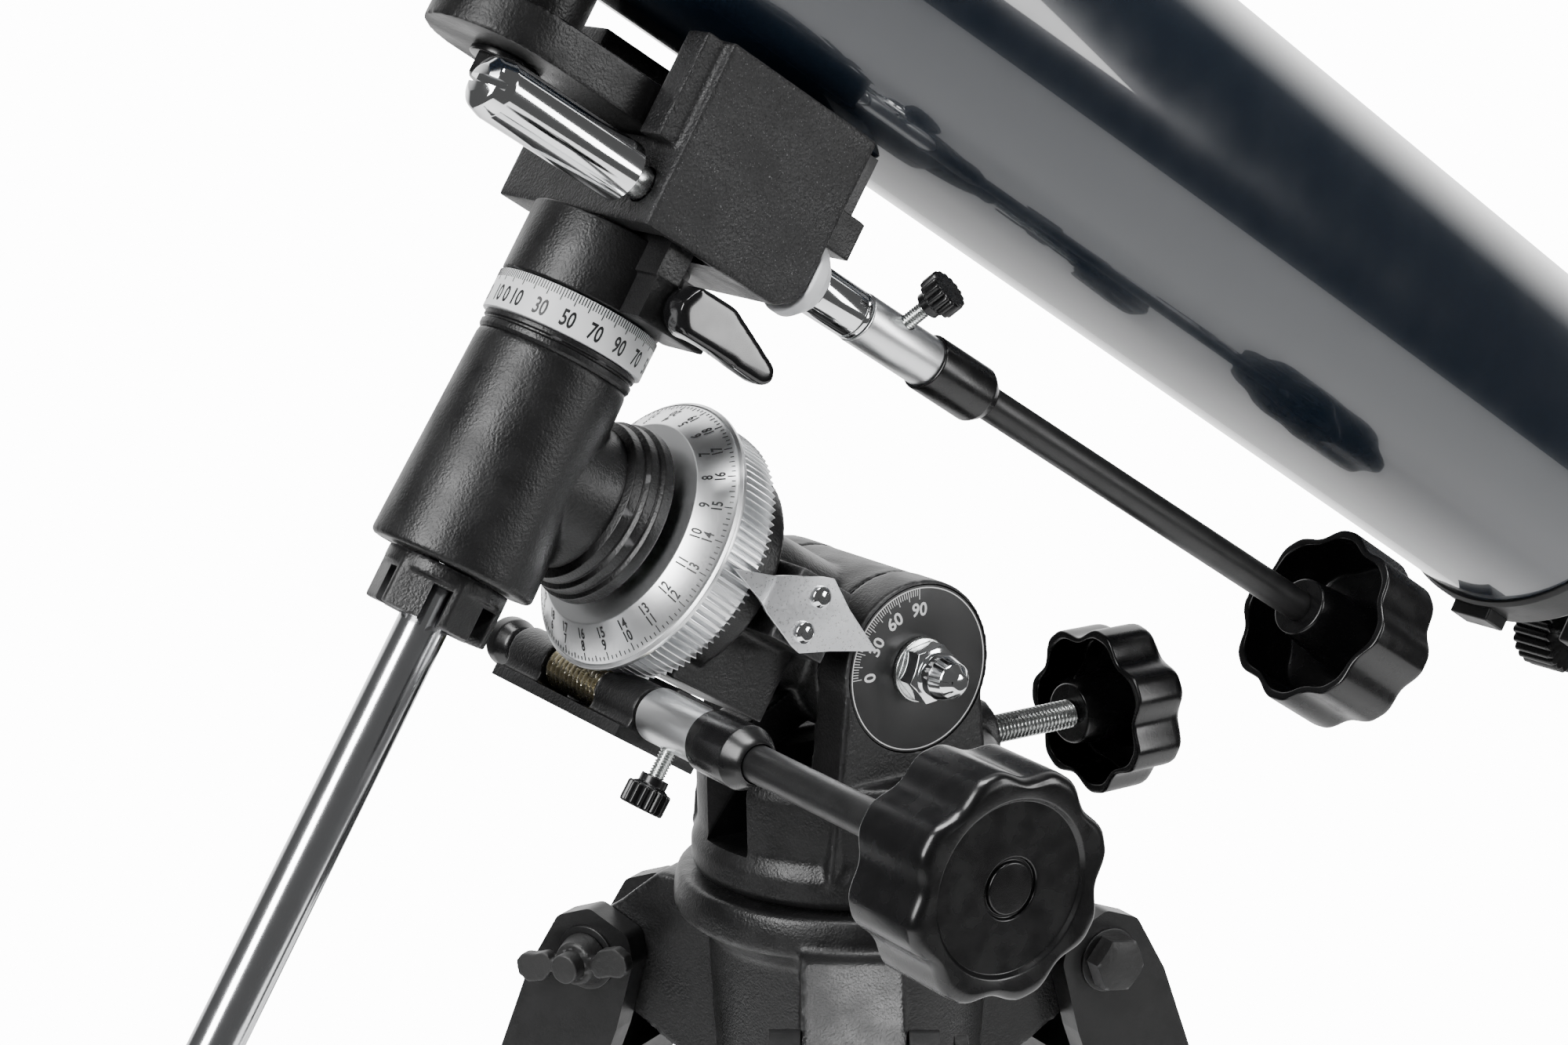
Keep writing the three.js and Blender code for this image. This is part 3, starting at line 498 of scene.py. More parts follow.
def put(name, bm, where, material, node, bevel=0.0, sharp=38):
    """A piece that stands for a CAD node and rides on its body."""
    obj = piece(name, bm, where, material, BODY[node], node, bevel, sharp)


def hex_part(flats, low, high, outer, axis="z", at=(0, 0, 0), turn=0.0):
    """A hexagon with a turned chamfer on its outer end: 'low', 'high' or 'both'."""
    r = flats / math.sqrt(3) + 0.2
    drop = (r - flats * 0.49) * 0.45
    ends = {"low": (flats * 0.49, r), "high": (r, flats * 0.49), "both": (flats * 0.49,) * 2}[outer]
    profile = [(0, low - 0.01), (ends[0], low - 0.01), (r, low + drop if ends[0] < r else low - 0.01)]
    profile += [(r, high - drop if ends[1] < r else high + 0.01), (ends[1], high + 0.01), (0, high + 0.01)]
    if ends[0] == r:
        profile.pop(1)
    if ends[1] == r:
        profile.pop(-2)
    turned_bar = lathe(profile, "z", (0, 0, 0), 96)
    return oriented(common(prism(hexagon(flats, turn), low, high), turned_bar), axis, at)


def thread(r, depth, pitch, low, high, axis="z", at=(0, 0, 0), crest=0.06, base=0.44, shift=0.0, around=40):
    """A right-hand thread whose first and last rings sit at its root radius."""
    bm = bmesh.new()
    rows = int((high - low) / pitch * 10)
    grid = []
    for k in range(rows + 1):
        z = low + (high - low) * k / rows
        level = []
        for i in range(around):
            share = (z / pitch - i / around + shift) % 1.0
            dip = min(1.0, max(0.0, (abs(share - 0.5) - crest) / (base - crest)))
            radius = r - depth * dip
            if k in (0, rows):
                radius = r - depth
            level.append(bm.verts.new((radius * math.cos(TAU * i / around),
                                       radius * math.sin(TAU * i / around), z)))
        grid.append(level)
    for a, b in zip(grid, grid[1:]):
        for i in range(around):
            k = (i + 1) % around
            bm.faces.new((a[i], a[k], b[k], b[i]))
    bm.faces.new(grid[0][::-1])
    bm.faces.new(grid[-1])
    return oriented(bm, axis, at)


def lobed_ring(radius, depth, count, low, high, edge, steps=192, power=0.5, bore=0.0):
    """A scalloped disc with rounded edges along local z."""
    profile = [(bore, low, 0), (radius, low, edge), (radius, high, edge), (bore, high, 0)]

    def wave(angle, r, z):
        share = max(0.0, (r - bore) / (radius - bore) - 0.55) / 0.45
        return r - depth * share * (1 - (0.5 + 0.5 * math.cos(count * angle)) ** power)

    return lathe(fillet(profile, edge, 4), "z", (0, 0, 0), steps, wave)


# ---- stand ---------------------------------------------------------------------------------------
def build_stand():
    wall = lathe(fillet([(0, -122, 0), (30, -122), (33, -118), (36, -74), (41, -70), (44.6, -68),
                         (44.6, -62.5), (43.6, -58.2), (0, -58.2, 0)], 1.0), "z", (2, 0, 0), 128)
    lug = [(20, -66), (50, -66), (62, -76), (74, -84), (77, -90), (74, -97), (66, -101), (40, -116),
           (20, -116)]
    parts, holes = [wall], []
    for key in ("front", "right", "left"):
        hinge = MOUNT.inverted() @ joint_point(f"leg_fold_{key}")
        turn = Matrix.Translation((2, 0, 0)) @ Matrix.Rotation(math.atan2(hinge.y, hinge.x - 2), 4, "Z")
        parts.append(moved(upright(lug, -12.6, 12.6), turn))
        holes.append(moved(rod(4.3, -20, 20, "y", (67, 0, -90), 32), turn))
    put("stand_head_casting", cast(parts, 0.9, 6, holes), MOUNT, CAST, "stand_head")


def build_leg(key):
    origin = joint_point(f"leg_fold_{key}")
    along = joint_axis(f"leg_fold_{key}")
    up = -joint_axis(f"leg_slide_{key}")
    leg = place(origin, along.cross(up), along, up)
    cheek = fillet([(-13, 6), (-9, 12), (4, 13), (12, 6), (15, -12), (15, -62), (-15, -62), (-15, -14)],
                   3.5, 5, True)
    shell = boolean(box(-15, 15, -20, 20, -62, -27), "UNION", upright(cheek, -20, -12.9),
                    upright(cheek, 12.9, 20))
    shell = cut(shell, rod(4.3, -30, 30, "y", (0, 0, 0), 48), box(-11, 11, -17, 17, -70, -34))
    put(f"leg_bracket_{key}_shell", shell, leg, SATIN_PLASTIC, f"leg_bracket_{key}", 0.9)
    for side in (-1, 1):
        disc = ring(4.4, 8.6, 0, 0.9, "y", (0, 19.8 if side > 0 else -20.7, 0), 64, 0.3)
        put(f"leg_bracket_{key}_boss_{'in' if side < 0 else 'out'}", disc, leg, SATIN_PLASTIC,
            f"leg_bracket_{key}")

    rail = cut(box(-10.6, 10.6, -16.6, 16.6, -420, -34.3), box(-8.4, 8.4, -14.4, 14.4, -425, -20),
               box(-20, 0, -9, 9, -360, -74))
    put(f"leg_channel_{key}_rail", rail, leg, RAIL, f"leg_channel_{key}", 0.5)
    sleeve = cut(box(-15.5, 17, -22, 22, -420, -378), box(-10.6, 10.6, -16.6, 16.6, -425, -370),
                 rod(3.4, 5, 30, "x", (0, 0, -400), 32))
    put(f"leg_channel_{key}_sleeve", sleeve, leg, SATIN_PLASTIC, f"leg_channel_{key}", 1.6)

    floor = (leg.inverted() @ Vector((origin.x, origin.y, 0))).length
    tilt = Matrix.Rotation(up.angle(UP), 4, "Y")
    tip = -floor / math.cos(up.angle(UP))
    top = tip + 42
    slider = cut(box(-7.9, 7.9, -13.9, 13.9, top - 18, -130), box(-5.9, 5.9, -11.9, 11.9, top - 30, -120))
    put(f"leg_slider_{key}_rail", slider, leg, RAIL, f"leg_slider_{key}", 0.4)
    under = moved(box(-400, 400, -60, 60, -floor - 80, -floor), tilt)
    outline = [(0, tip - 20, 0), (15, tip - 20, 0), (14.5, tip + 12), (12, tip + 20), (0, tip + 20, 0)]
    sole = lathe(fillet(outline, 2.0), "z", (0, 0, 0), 96)
    foot = boolean(sole, "UNION", box(-11, 11, -17, 17, tip + 8, top))
    foot = cut(foot, box(-8.2, 8.2, -14.2, 14.2, top - 18.4, top + 5), under)
    put(f"leg_foot_{key}_rubber", foot, leg, RUBBER, f"leg_foot_{key}", 0.5)

    turn = Matrix.Translation((0, 0, -400)) @ TO_AXIS["x"]
    put(f"leg_clamp_{key}_knob", moved(lobed_ring(13, 2.2, 6, 19, 29, 1.6), turn), leg, PLASTIC,
        f"leg_clamp_{key}")
    put(f"leg_clamp_{key}_screw", rod(3, 8.7, 24, "x", (0, 0, -400), 32), leg, ZINC, f"leg_clamp_{key}")

    pin = rod(3.9, -22, 31, "y", (0, 0, 0), 48, 0.6)
    put(f"leg_bolt_{key}_pin", pin, leg, IRON, f"leg_bolt_{key}")
    put(f"leg_bolt_{key}_head", hex_part(13, -26, -20.3, "low", "y"), leg, IRON, f"leg_bolt_{key}", 0.3)
    hub = lathe(fillet([(3.9, 20.9), (7.2, 20.9), (5.6, 26.5), (3.9, 26.5)], 0.7, 4, True), "y")
    left = [(-4.5, 3.5), (-6, 8.5), (-10, 11.5), (-13.5, 11), (-15.5, 8), (-14.5, 5), (-11, 3.2), (-8, 0.5)]
    wing_a = upright(fillet(left, 1.8, 5, True), 24.2, 27.6)
    wing_b = upright(fillet([(-x, -z) for x, z in left], 1.8, 5, True), 24.2, 27.6)
    wings = cast([hub, wing_a, wing_b, rod(5.4, 22, 26.5, "y"),
                  upright([(-9, 4), (-3, 5), (9, -4), (3, -5)], 24.4, 27)], 0.45, 3,
                 [rod(3.95, 0, 40, "y", (0, 0, 0), 32)])
    put(f"leg_bolt_{key}_wing", wings, leg, IRON, f"leg_bolt_{key}")


# ---- azimuth fork, latitude scale, jack bolt -----------------------------------------------------
def build_fork():
    flange = lathe(fillet([(0, -57.5, 0), (39, -57.5), (40.2, -55), (40.2, -50), (38.5, -46), (39, -31),
                           (37.5, -27), (0, -27, 0)], 0.8), "z", (2, 0, 0), 128)
    start, end = math.pi + 0.14, -0.42
    turns = [start + (end - start) * i / 48 for i in range(49)]
    arc = [(21.8 * math.cos(t), 21.8 * math.sin(t)) for t in turns]
    outline = [(-26.5, -50), (-23.4, -22), (-21.6, -3), *arc, (24, -50)]
    cheeks = [upright(outline, -29.9, -17.8), upright(outline, 17.8, 29.9)]
    boss = rod(10, 20, 43, "x", (0, 0, JACK_Z), 64)
    holes = [rod(21, -31, -28.4, "y", (0, 0, 0), 128), rod(5.3, -40, 40, "y", (0, 0, 0), 48),
             box(-60, 15, -8.5, 8.5, -47, 0), rod(23.5, -17.8, 17.8, "y", (0, 0, 0), 96),
             rod(4.1, 0, 60, "x", (0, 0, JACK_Z), 48)]
    put("azimuth_fork_casting", cast([flange, *cheeks, boss], 0.75, 4, holes), MOUNT, CAST, "azimuth_fork")

    disc = ring(5.5, 20.7, -29.7, -28.7, "y", (0, 0, 0), 160, 0.12)
    put("latitude_dial_plate", disc, MOUNT, DIAL_BLACK, "latitude_dial")
    marks = [ring(19.95, 20.2, -0.03, 0.03, "z", (0, 0, 0), 160, 0)]
    for value in range(0, 91, 2):
        length = 2.6 if value % 10 == 0 else 1.6
        mark = bar_mark(0.17, length)
        angle = math.pi - math.radians(value)
        marks.append(moved(mark, Matrix.Rotation(angle - math.pi / 2, 4, "Z")
                           @ Matrix.Translation((0, 19.9 - length, 0))))
    for value in (0, 30, 60, 90):
        angle = math.pi - math.radians(value)
        turn = Matrix.Rotation(angle - math.pi / 2, 4, "Z") @ Matrix.Translation((0, 14.6, 0))
        marks.append(moved(lettering(str(value), 4.6), turn))
    dial_face = wrapped(marks, lambda u, v, w: (u, -29.72 - w, v))
    put("latitude_dial_marks", dial_face, MOUNT, WHITE_INK, "latitude_dial")

    washer = ring(5.0, 8.0, -31.3, -29.8, "y", (0, 0, 0), 96, 0.35)
    put("altitude_washer", washer, MOUNT, ZINC, "altitude_bolt")
    put("altitude_nut", hex_part(13, -36.5, -31.4, "both", "y", (0, 0, 0), 0.35), MOUNT, CHROME,
        "altitude_bolt", 0.25)
    dome = [(0, -46.2, 0), (2.2, -46.0), (4.4, -43.6), (5.6, -40.2), (5.6, -36.6, 0.3), (5.1, -36.3, 0.2),
            (5.1, -35, 0), (0, -35, 0)]
    put("altitude_acorn", lathe(fillet(dome, 1.6, 8), "y"), MOUNT, CHROME, "altitude_bolt")
    put("altitude_head", hex_part(13, 30.2, 35.5, "high", "y"), MOUNT, ZINC, "altitude_bolt", 0.25)
    put("altitude_shank", rod(4.9, -36, 31, "y", (0, 0, 0), 48), MOUNT, ZINC, "altitude_bolt")

    turn = Matrix.Translation((0, 0, JACK_Z)) @ TO_AXIS["x"]
    screw = thread(3.8, 0.66, 1.25, 4, 82, "x", (0, 0, JACK_Z))
    put("jack_thread", screw, MOUNT, ZINC, "jack_bolt")
    knob = cup_knob(22.5, 7, 80, 97, 8, 74, 3.2, False)
    put("jack_knob", moved(knob, turn), MOUNT, PLASTIC, "jack_bolt")


# ---- polar housing, pointer, worm drive ----------------------------------------------------------
def build_polar():
    barrel = lathe([(0, 0), (16.8, 0), (16.8, 44), (20, 48), (27, 50), (27, 57.9), (0, 57.9)], "x",
                   (0, 0, 0), 96)
    knuckle = rod(21.6, -17.4, 17.4, "z", KNUCKLE, 96)
    turn = Matrix.Translation(KNUCKLE) @ Matrix.Rotation(PHI - math.pi / 2, 4, "Z")
    lug = moved(box(17, 38, -7, 3, -7, 7), turn)
    parts = [barrel, knuckle, box(26, 56, -27, 0, -15, 15), box(30, 47, -9, 9, -30.8, -10), lug]
    holes = [rod(5.3, -40, 40, "z", KNUCKLE, 48), rod(9.9, 12, 60, "x", (0, 0, 0), 64)]
    put("polar_housing_casting", cast(parts, 0.75, 4, holes), POLAR, CAST, "polar_housing")

    kite = [(17, 0), (30, 5.5), (38, 10), (41, 9.2), (55, 3.6), (69, 0), (55, -3.6), (41, -8.8), (38, -9.4),
            (30, -5.5)]
    bend = [(16, -31.15), (52, -31.15), (58, -33.35), (70, -35.25), (70, -36), (57.7, -34.1), (51.8, -31.9),
            (16, -31.9)]
    leaf = common(prism(kite, -40, -28), upright(bend, -12, 12))
    put("pointer_leaf", leaf, POLAR, SATIN, "pointer", 0.1)
    for tag, d in (("upper", 4.6), ("lower", -4.6)):
        at = (39.5, d, 0)
        dome = [(0, -33.6, 0), (1.7, -33.5), (2.7, -32.6), (2.7, -31.8, 0.1), (0, -31.8, 0)]
        head = lathe(fillet(dome, 0.6, 5), "z", at, 64)
        cross = [box(at[0] - 1.6, at[0] + 1.6, at[1] - 0.28, at[1] + 0.28, -34, -32.9),
                 box(at[0] - 0.28, at[0] + 0.28, at[1] - 1.6, at[1] + 1.6, -34, -32.9)]
        put(f"pointer_screw_{tag}", cut(head, *cross), POLAR, CHROME, "pointer")

    bore = rod(4.3, -40, 50, "z", WORM_AT, 64)
    parts = [rod(6.2, 17.3, 33.2, "z", WORM_AT, 64), rod(6.2, -24.2, -6.7, "z", WORM_AT, 64),
             box(56.6, 66.8, -42.5, -38, 17.3, 33.2), box(56.6, 66.8, -42.5, -38, -24.2, -6.7),
             box(44, 69, -45, -42, -24.2, 33.2), box(44, 55.4, -45, -28.2, -20, 20)]
    carriage = cast(parts, 0.5, 3, [bore, rod(33.0, 57, 80, "x", (0, 0, 0), 128)])
    put("worm_carriage_casting", carriage, WORM, CAST, "worm_carriage")

    spiral = thread(5.3, 2.1, GEAR_LEAD, -6.4, 17, "z", WORM_AT, 0.088, 0.2393, 0.25, 48)
    put("worm_thread", spiral, WORM, WORM_METAL, "worm")
    put("worm_journal_near", rod(4, -39, -6, "z", WORM_AT), WORM, WORM_METAL, "worm")
    put("worm_journal_far", rod(4, 16.8, 33.6, "z", WORM_AT), WORM, WORM_METAL, "worm")
    put("worm_stem", rod(2.4, 33, 42, "z", WORM_AT), WORM, CHROME, "worm")
    ball = [(0, 35.2, 0), (2.6, 35.2, 0.2), (4.9, 36.6), (6.4, 40), (6.4, 43.5), (4.6, 46.8), (0, 48, 0)]
    put("worm_ball", lathe(fillet(ball, 2.4, 6), "z", WORM_AT), WORM, PLASTIC, "worm")

    screw_at = (WORM_AT[0], WORM_AT[1], -35.5)
    socket = cut(rod(6.5, -49, -25.8, "z", WORM_AT, 96, 0.4), rod(4.3, -40.5, -20, "z", WORM_AT),
                 rod(2.2, -12, 0, "y", screw_at, 32))
    put("ra_control_socket", socket, WORM, TURNED, "ra_control")
    collar = [(6.6, -47.9), (7.4, -48.1), (7.5, -62.0, 1.2), (4.3, -68.5, 1.0), (4.2, -60)]
    sleeve = lathe(fillet(collar, 0.5, 4, True), "z", WORM_AT)
    put("ra_control_collar", sleeve, WORM, PLASTIC, "ra_control")
    put("ra_control_rod", rod(4.3, -152, -60, "z", WORM_AT, 64), WORM, SATIN_PLASTIC, "ra_control")
    knob = cup_knob(25, 8, -135, -157, 8, -128, 2.3)
    put("ra_control_knob", moved(knob, Matrix.Translation(WORM_AT)), WORM, PLASTIC, "ra_control")
    thumb_screw("ra_control_screw", WORM, screw_at, Vector((0, -1, 0)), 5, 13, 21)

    put("worm_wheel_gear", gear(), WORM, GEAR, "worm_wheel", 0, 30)
    dial = [(15.4, 70.5, 0), (34.3, 70.5, 0.15), (34.3, 71.5, 0.2), (33.6, 72.04, 0), (33.3, 71.9, 0),
            (33.0, 72.5, 0), (25.7, 78.2, 0.8), (15.4, 78.2, 0)]
    put("ra_dial_body", lathe(fillet(dial, 0.3, 4, True), "x", (0, 0, 0), 200), POLAR, TURNED, "ra_dial")
    put("ra_dial_marks", ra_marks(), POLAR, INK, "ra_dial")


def aimed(direction):
    """The turn that takes local z to a direction."""
    return UP.rotation_difference(direction.normalized()).to_matrix().to_4x4()


def thumb_screw(node, where, at, aim, inner, low, high):
    """A knurled plastic thumb screw on a plated threaded stem."""
    turn = Matrix.Translation(at) @ aimed(aim)
    stem = thread(2, 0.36, 0.7, inner, low + 1, around=24)
    put(f"{node}_stem", moved(stem, turn), where, ZINC, node)
    head = lobed_ring(5.4, 0.75, 16, low + 2.6, high, 0.7, 192, 0.6)
    put(f"{node}_head", moved(head, turn), where, PLASTIC, node)
    outline = [(0, low, 0), (3.4, low), (3.4, low + 2), (4.7, low + 2.7), (0, low + 2.9, 0)]
    skirt = lathe(fillet(outline, 0.3), "z", (0, 0, 0), 64)
    put(f"{node}_skirt", moved(skirt, turn), where, PLASTIC, node)


def gear():
    """The worm wheel: one hundred leaning teeth round a bored disc, along the polar axis."""
    layers = 5
    bm = bmesh.new()
    near, far = 58.5, 70.2
    lean = GEAR_LEAD / (TAU * 4.4) / 31.6
    tooth = ((-0.5, 30.3), (-0.28, 30.3), (-0.17, 31.4), (-0.08, 32.3), (0.0, 32.4), (0.08, 32.3),
             (0.17, 31.4), (0.28, 30.3))
    grid = []
    for k in range(layers):
        s = near + (far - near) * k / (layers - 1)
        level = []
        for i in range(GEAR_TEETH):
            for part, r in tooth:
                inset = 0.5 if k in (0, layers - 1) and r > 31 else 0.0
                angle = (i + part) * TAU / GEAR_TEETH - math.pi / 2 + lean * (s - WORM_AT[0])
                radius = r - inset
                level.append(bm.verts.new((s, radius * math.sin(angle), -radius * math.cos(angle))))
        grid.append(level)
    count = GEAR_TEETH * len(tooth)
    for a, b in zip(grid, grid[1:]):
        for i in range(count):
            k = (i + 1) % count
            bm.faces.new((a[i], a[k], b[k], b[i]))
    bores = []
    for s in (near, far):
        turns = [TAU * i / count - math.pi / 2 for i in range(count)]
        bores.append([bm.verts.new((s, 15.4 * math.sin(t), -15.4 * math.cos(t))) for t in turns])
    for rim, bore in ((grid[0], bores[0]), (grid[-1], bores[1]), (bores[0], bores[1])):
        for i in range(count):
            k = (i + 1) % count
            bm.faces.new((rim[i], rim[k], bore[k], bore[i]))
    bmesh.ops.recalc_face_normals(bm, faces=bm.faces)
    return bm


def on_cone(u, v, w, a0):
    """A point on the right ascension dial: v runs from the rim towards the pole end, u round the dial."""
    along = Vector((6.7, -8.6)).normalized()
    r = 34.3 + along.y * v + w * along.x
    s = 71.5 + along.x * v + w * -along.y
    angle = a0 + u / r
    return (s, r * math.cos(angle), r * math.sin(angle))


def ra_marks():
    parts = []
    for i in range(144):
        length = 1.9 if i % 6 == 0 else (1.35 if i % 3 == 0 else 0.9)
        angle = math.radians(-112.5 + 2.5 * i)
        parts.append(wrapped([bar_mark(0.24, length)],
                             lambda u, v, w, a=angle: on_cone(u, v + 1.9, w + 0.04, a)))
    for hour in range(1, 25):
        angle = math.radians(-112.5 + 15 * (12 - hour))
        inner = lettering(str(hour % 24), 3.6)
        outer = lettering(str((24 - hour) % 24), 3.6)
        parts.append(wrapped([inner], lambda u, v, w, a=angle: on_cone(u * 0.72, v + 8.4, w + 0.06, a)))
        parts.append(wrapped([outer], lambda u, v, w, a=angle: on_cone(u * 0.72, v + 5.4, w + 0.06, a)))
    return merged(*parts)


# ---- declination housing, weight, clamp and scale ------------------------------------------------
def build_dec_housing():
    barrel = lathe([(0, -28), (19.4, -28), (20.1, -27.2), (18.7, 24), (18.2, 25.2), (0, 25.2)], "y",
                   DEC_AT, 96)
    neck = lathe([(0, 83), (18.4, 83), (17.6, 98), (17.6, DEC_S), (0, DEC_S)], "x", (0, 0, 0), 96)
    holes = [rod(6.3, -30, -8, "y", DEC_AT, 48)]
    put("dec_housing_casting", cast([barrel, neck], 0.7, 4, holes), POLAR, CAST, "dec_housing")
    outline = [(17, 82), (22.4, 82), (22.4, 85), (21.3, 85.5, 0.1), (21.3, 86.0, 0.1), (21.6, 86.2),
               (21.4, 88.6), (20.2, 89.1, 0.1), (20.2, 89.6, 0.1), (20.4, 89.8), (20, 92.2), (18, 92.8),
               (17, 92.8)]
    rings = lathe(fillet(outline, 0.35, 3, True), "x", (0, 0, 0), 160)
    put("dec_housing_rings", rings, POLAR, CAST, "dec_housing")
    outline = [(9.4, 24.8), (18.4, 24.8), (18.9, 25.6), (18.9, 26.8), (18.3, 27.2, 0.1), (18.3, 27.6, 0.1),
               (18.9, 27.9), (18.9, 29), (13, 29), (13, 39), (9.4, 39)]
    lip = lathe(fillet(outline, 0.25, 3, True), "y", DEC_AT, 160)
    put("dec_housing_lip", lip, POLAR, CAST, "dec_housing")
    put("dec_housing_spindle", rod(15, 58.2, 83, "x", (0, 0, 0), 96), POLAR, CAST, "dec_housing")
    put("dec_housing_axle", rod(9.5, 14, 60, "x", (0, 0, 0), 64), POLAR, CAST, "dec_housing")

    turn = Matrix.Translation(DEC_AT) @ Matrix.Rotation(-math.pi / 2, 4, "X")
    crown = prism(hexagon(26.5, math.radians(15)), -41.5, -30.6)
    notches = [moved(box(-20, 20, -2.4, 2.4, -50, -33), Matrix.Rotation(math.radians(a), 4, "Z"))
               for a in (0, 60, 120)]
    body = cast([crown, rod(14.8, -32, -28.4)], 0.55, 3, [*notches, rod(6.3, -60, 0, "z", (0, 0, 0), 48)])
    put("castle_nut_casting", moved(body, turn), POLAR, CAST, "castle_nut")

    put("weight_shaft", rod(6, -270, -10, "y", DEC_AT, 96, 0.6), POLAR, SHAFT, "counterweight_shaft")
    stop = lathe(fillet([(0, -276, 0), (12, -276), (12, -271), (0, -271, 0)], 0.8), "y", DEC_AT)
    put("weight_shaft_stop", stop, POLAR, CHROME, "counterweight_shaft")
    weight = [(6.3, -246, 0.4), (36, -246, 3), (41, -241, 3), (41, -203, 3), (36, -198, 3), (6.3, -198, 0.4)]
    drum = cut(lathe(fillet(weight, 2, 6, True), "y", DEC_AT, 128), rod(4.3, 0, 60, "x", WEIGHT_AT, 32))
    put("counterweight_drum", drum, POLAR, IRON, "counterweight")
    turn = Matrix.Translation(WEIGHT_AT) @ TO_AXIS["x"]
    knob = lobed_ring(11, 2, 6, 45, 56, 1.8)
    put("counterweight_knob", moved(knob, turn), POLAR, PLASTIC, "counterweight_screw")
    put("counterweight_stem", moved(rod(4, 6.8, 46), turn), POLAR, ZINC, "counterweight_screw")


def dec_marks():
    radius = 19.93
    parts = []

    def wrap(d0, alpha):
        return lambda u, v, w: (DEC_S + (radius + w) * math.cos(alpha - u / radius), d0 + v,
                                (radius + w) * math.sin(alpha - u / radius))

    for i in range(180):
        length = 2.9 if i % 5 == 0 else 1.9
        alpha = math.radians(-4.5 - 2 * i)
        parts.append(wrapped([bar_mark(0.24, -length)], wrap(38.6, alpha)))
    for side in range(2):
        for value in (-70, -50, -30, -10, 0, 10, 30, 50, 70, 90):
            alpha = math.radians(-4.5 - value - 180 * side)
            digits = moved(lettering(str(abs(value)), 5.4), Matrix.Diagonal((0.64, 1, 1, 1)))
            parts.append(wrapped([digits], wrap(32.4, alpha)))
    return merged(*parts)


def build_dec_clamp():
    scale = ring(13.3, 19.9, 29.3, 38.7, "y", DEC_AT, 160, 0.2)
    put("dec_dial_ring", scale, POLAR, SCALE, "dec_dial")
    put("dec_dial_marks", dec_marks(), POLAR, INK, "dec_dial")

    band = ring(9.4, 19.8, 39.3, 56.7, "y", DEC_AT, 128, 0.5)
    put("dec_clamp_band", band, POLAR, CAST, "dec_clamp_ring")
    lug, arm = box(97, 117, 39.3, 52, -27.5, -12), box(111, 118, 49.5, 71.5, -28, -12)
    holes = [rod(3.4, -40, -14, "z", LEVER_AT, 32), rod(9.4, 30, 60, "y", DEC_AT, 64)]
    put("dec_clamp_lug", cast([lug, arm], 0.5, 3, holes), POLAR, CAST, "dec_clamp_ring")

    outline = [(112, 51), (101, 51), (84, 44), (83, 40.5), (86, 38.5), (102, 39.5), (112, 39.5), (115, 45)]
    wing = fillet(outline, 3.0, 6, True)
    arm = cast([prism(wing, -38, -31.6), rod(6, -34, -28, "z", LEVER_AT, 64)], 0.55, 26)
    put("dec_lock_wing", arm, POLAR, GLOSS, "dec_lock_lever")
    put("dec_lock_pin", rod(3, -30, -20.4, "z", LEVER_AT, 48), POLAR, ZINC, "dec_lock_lever")


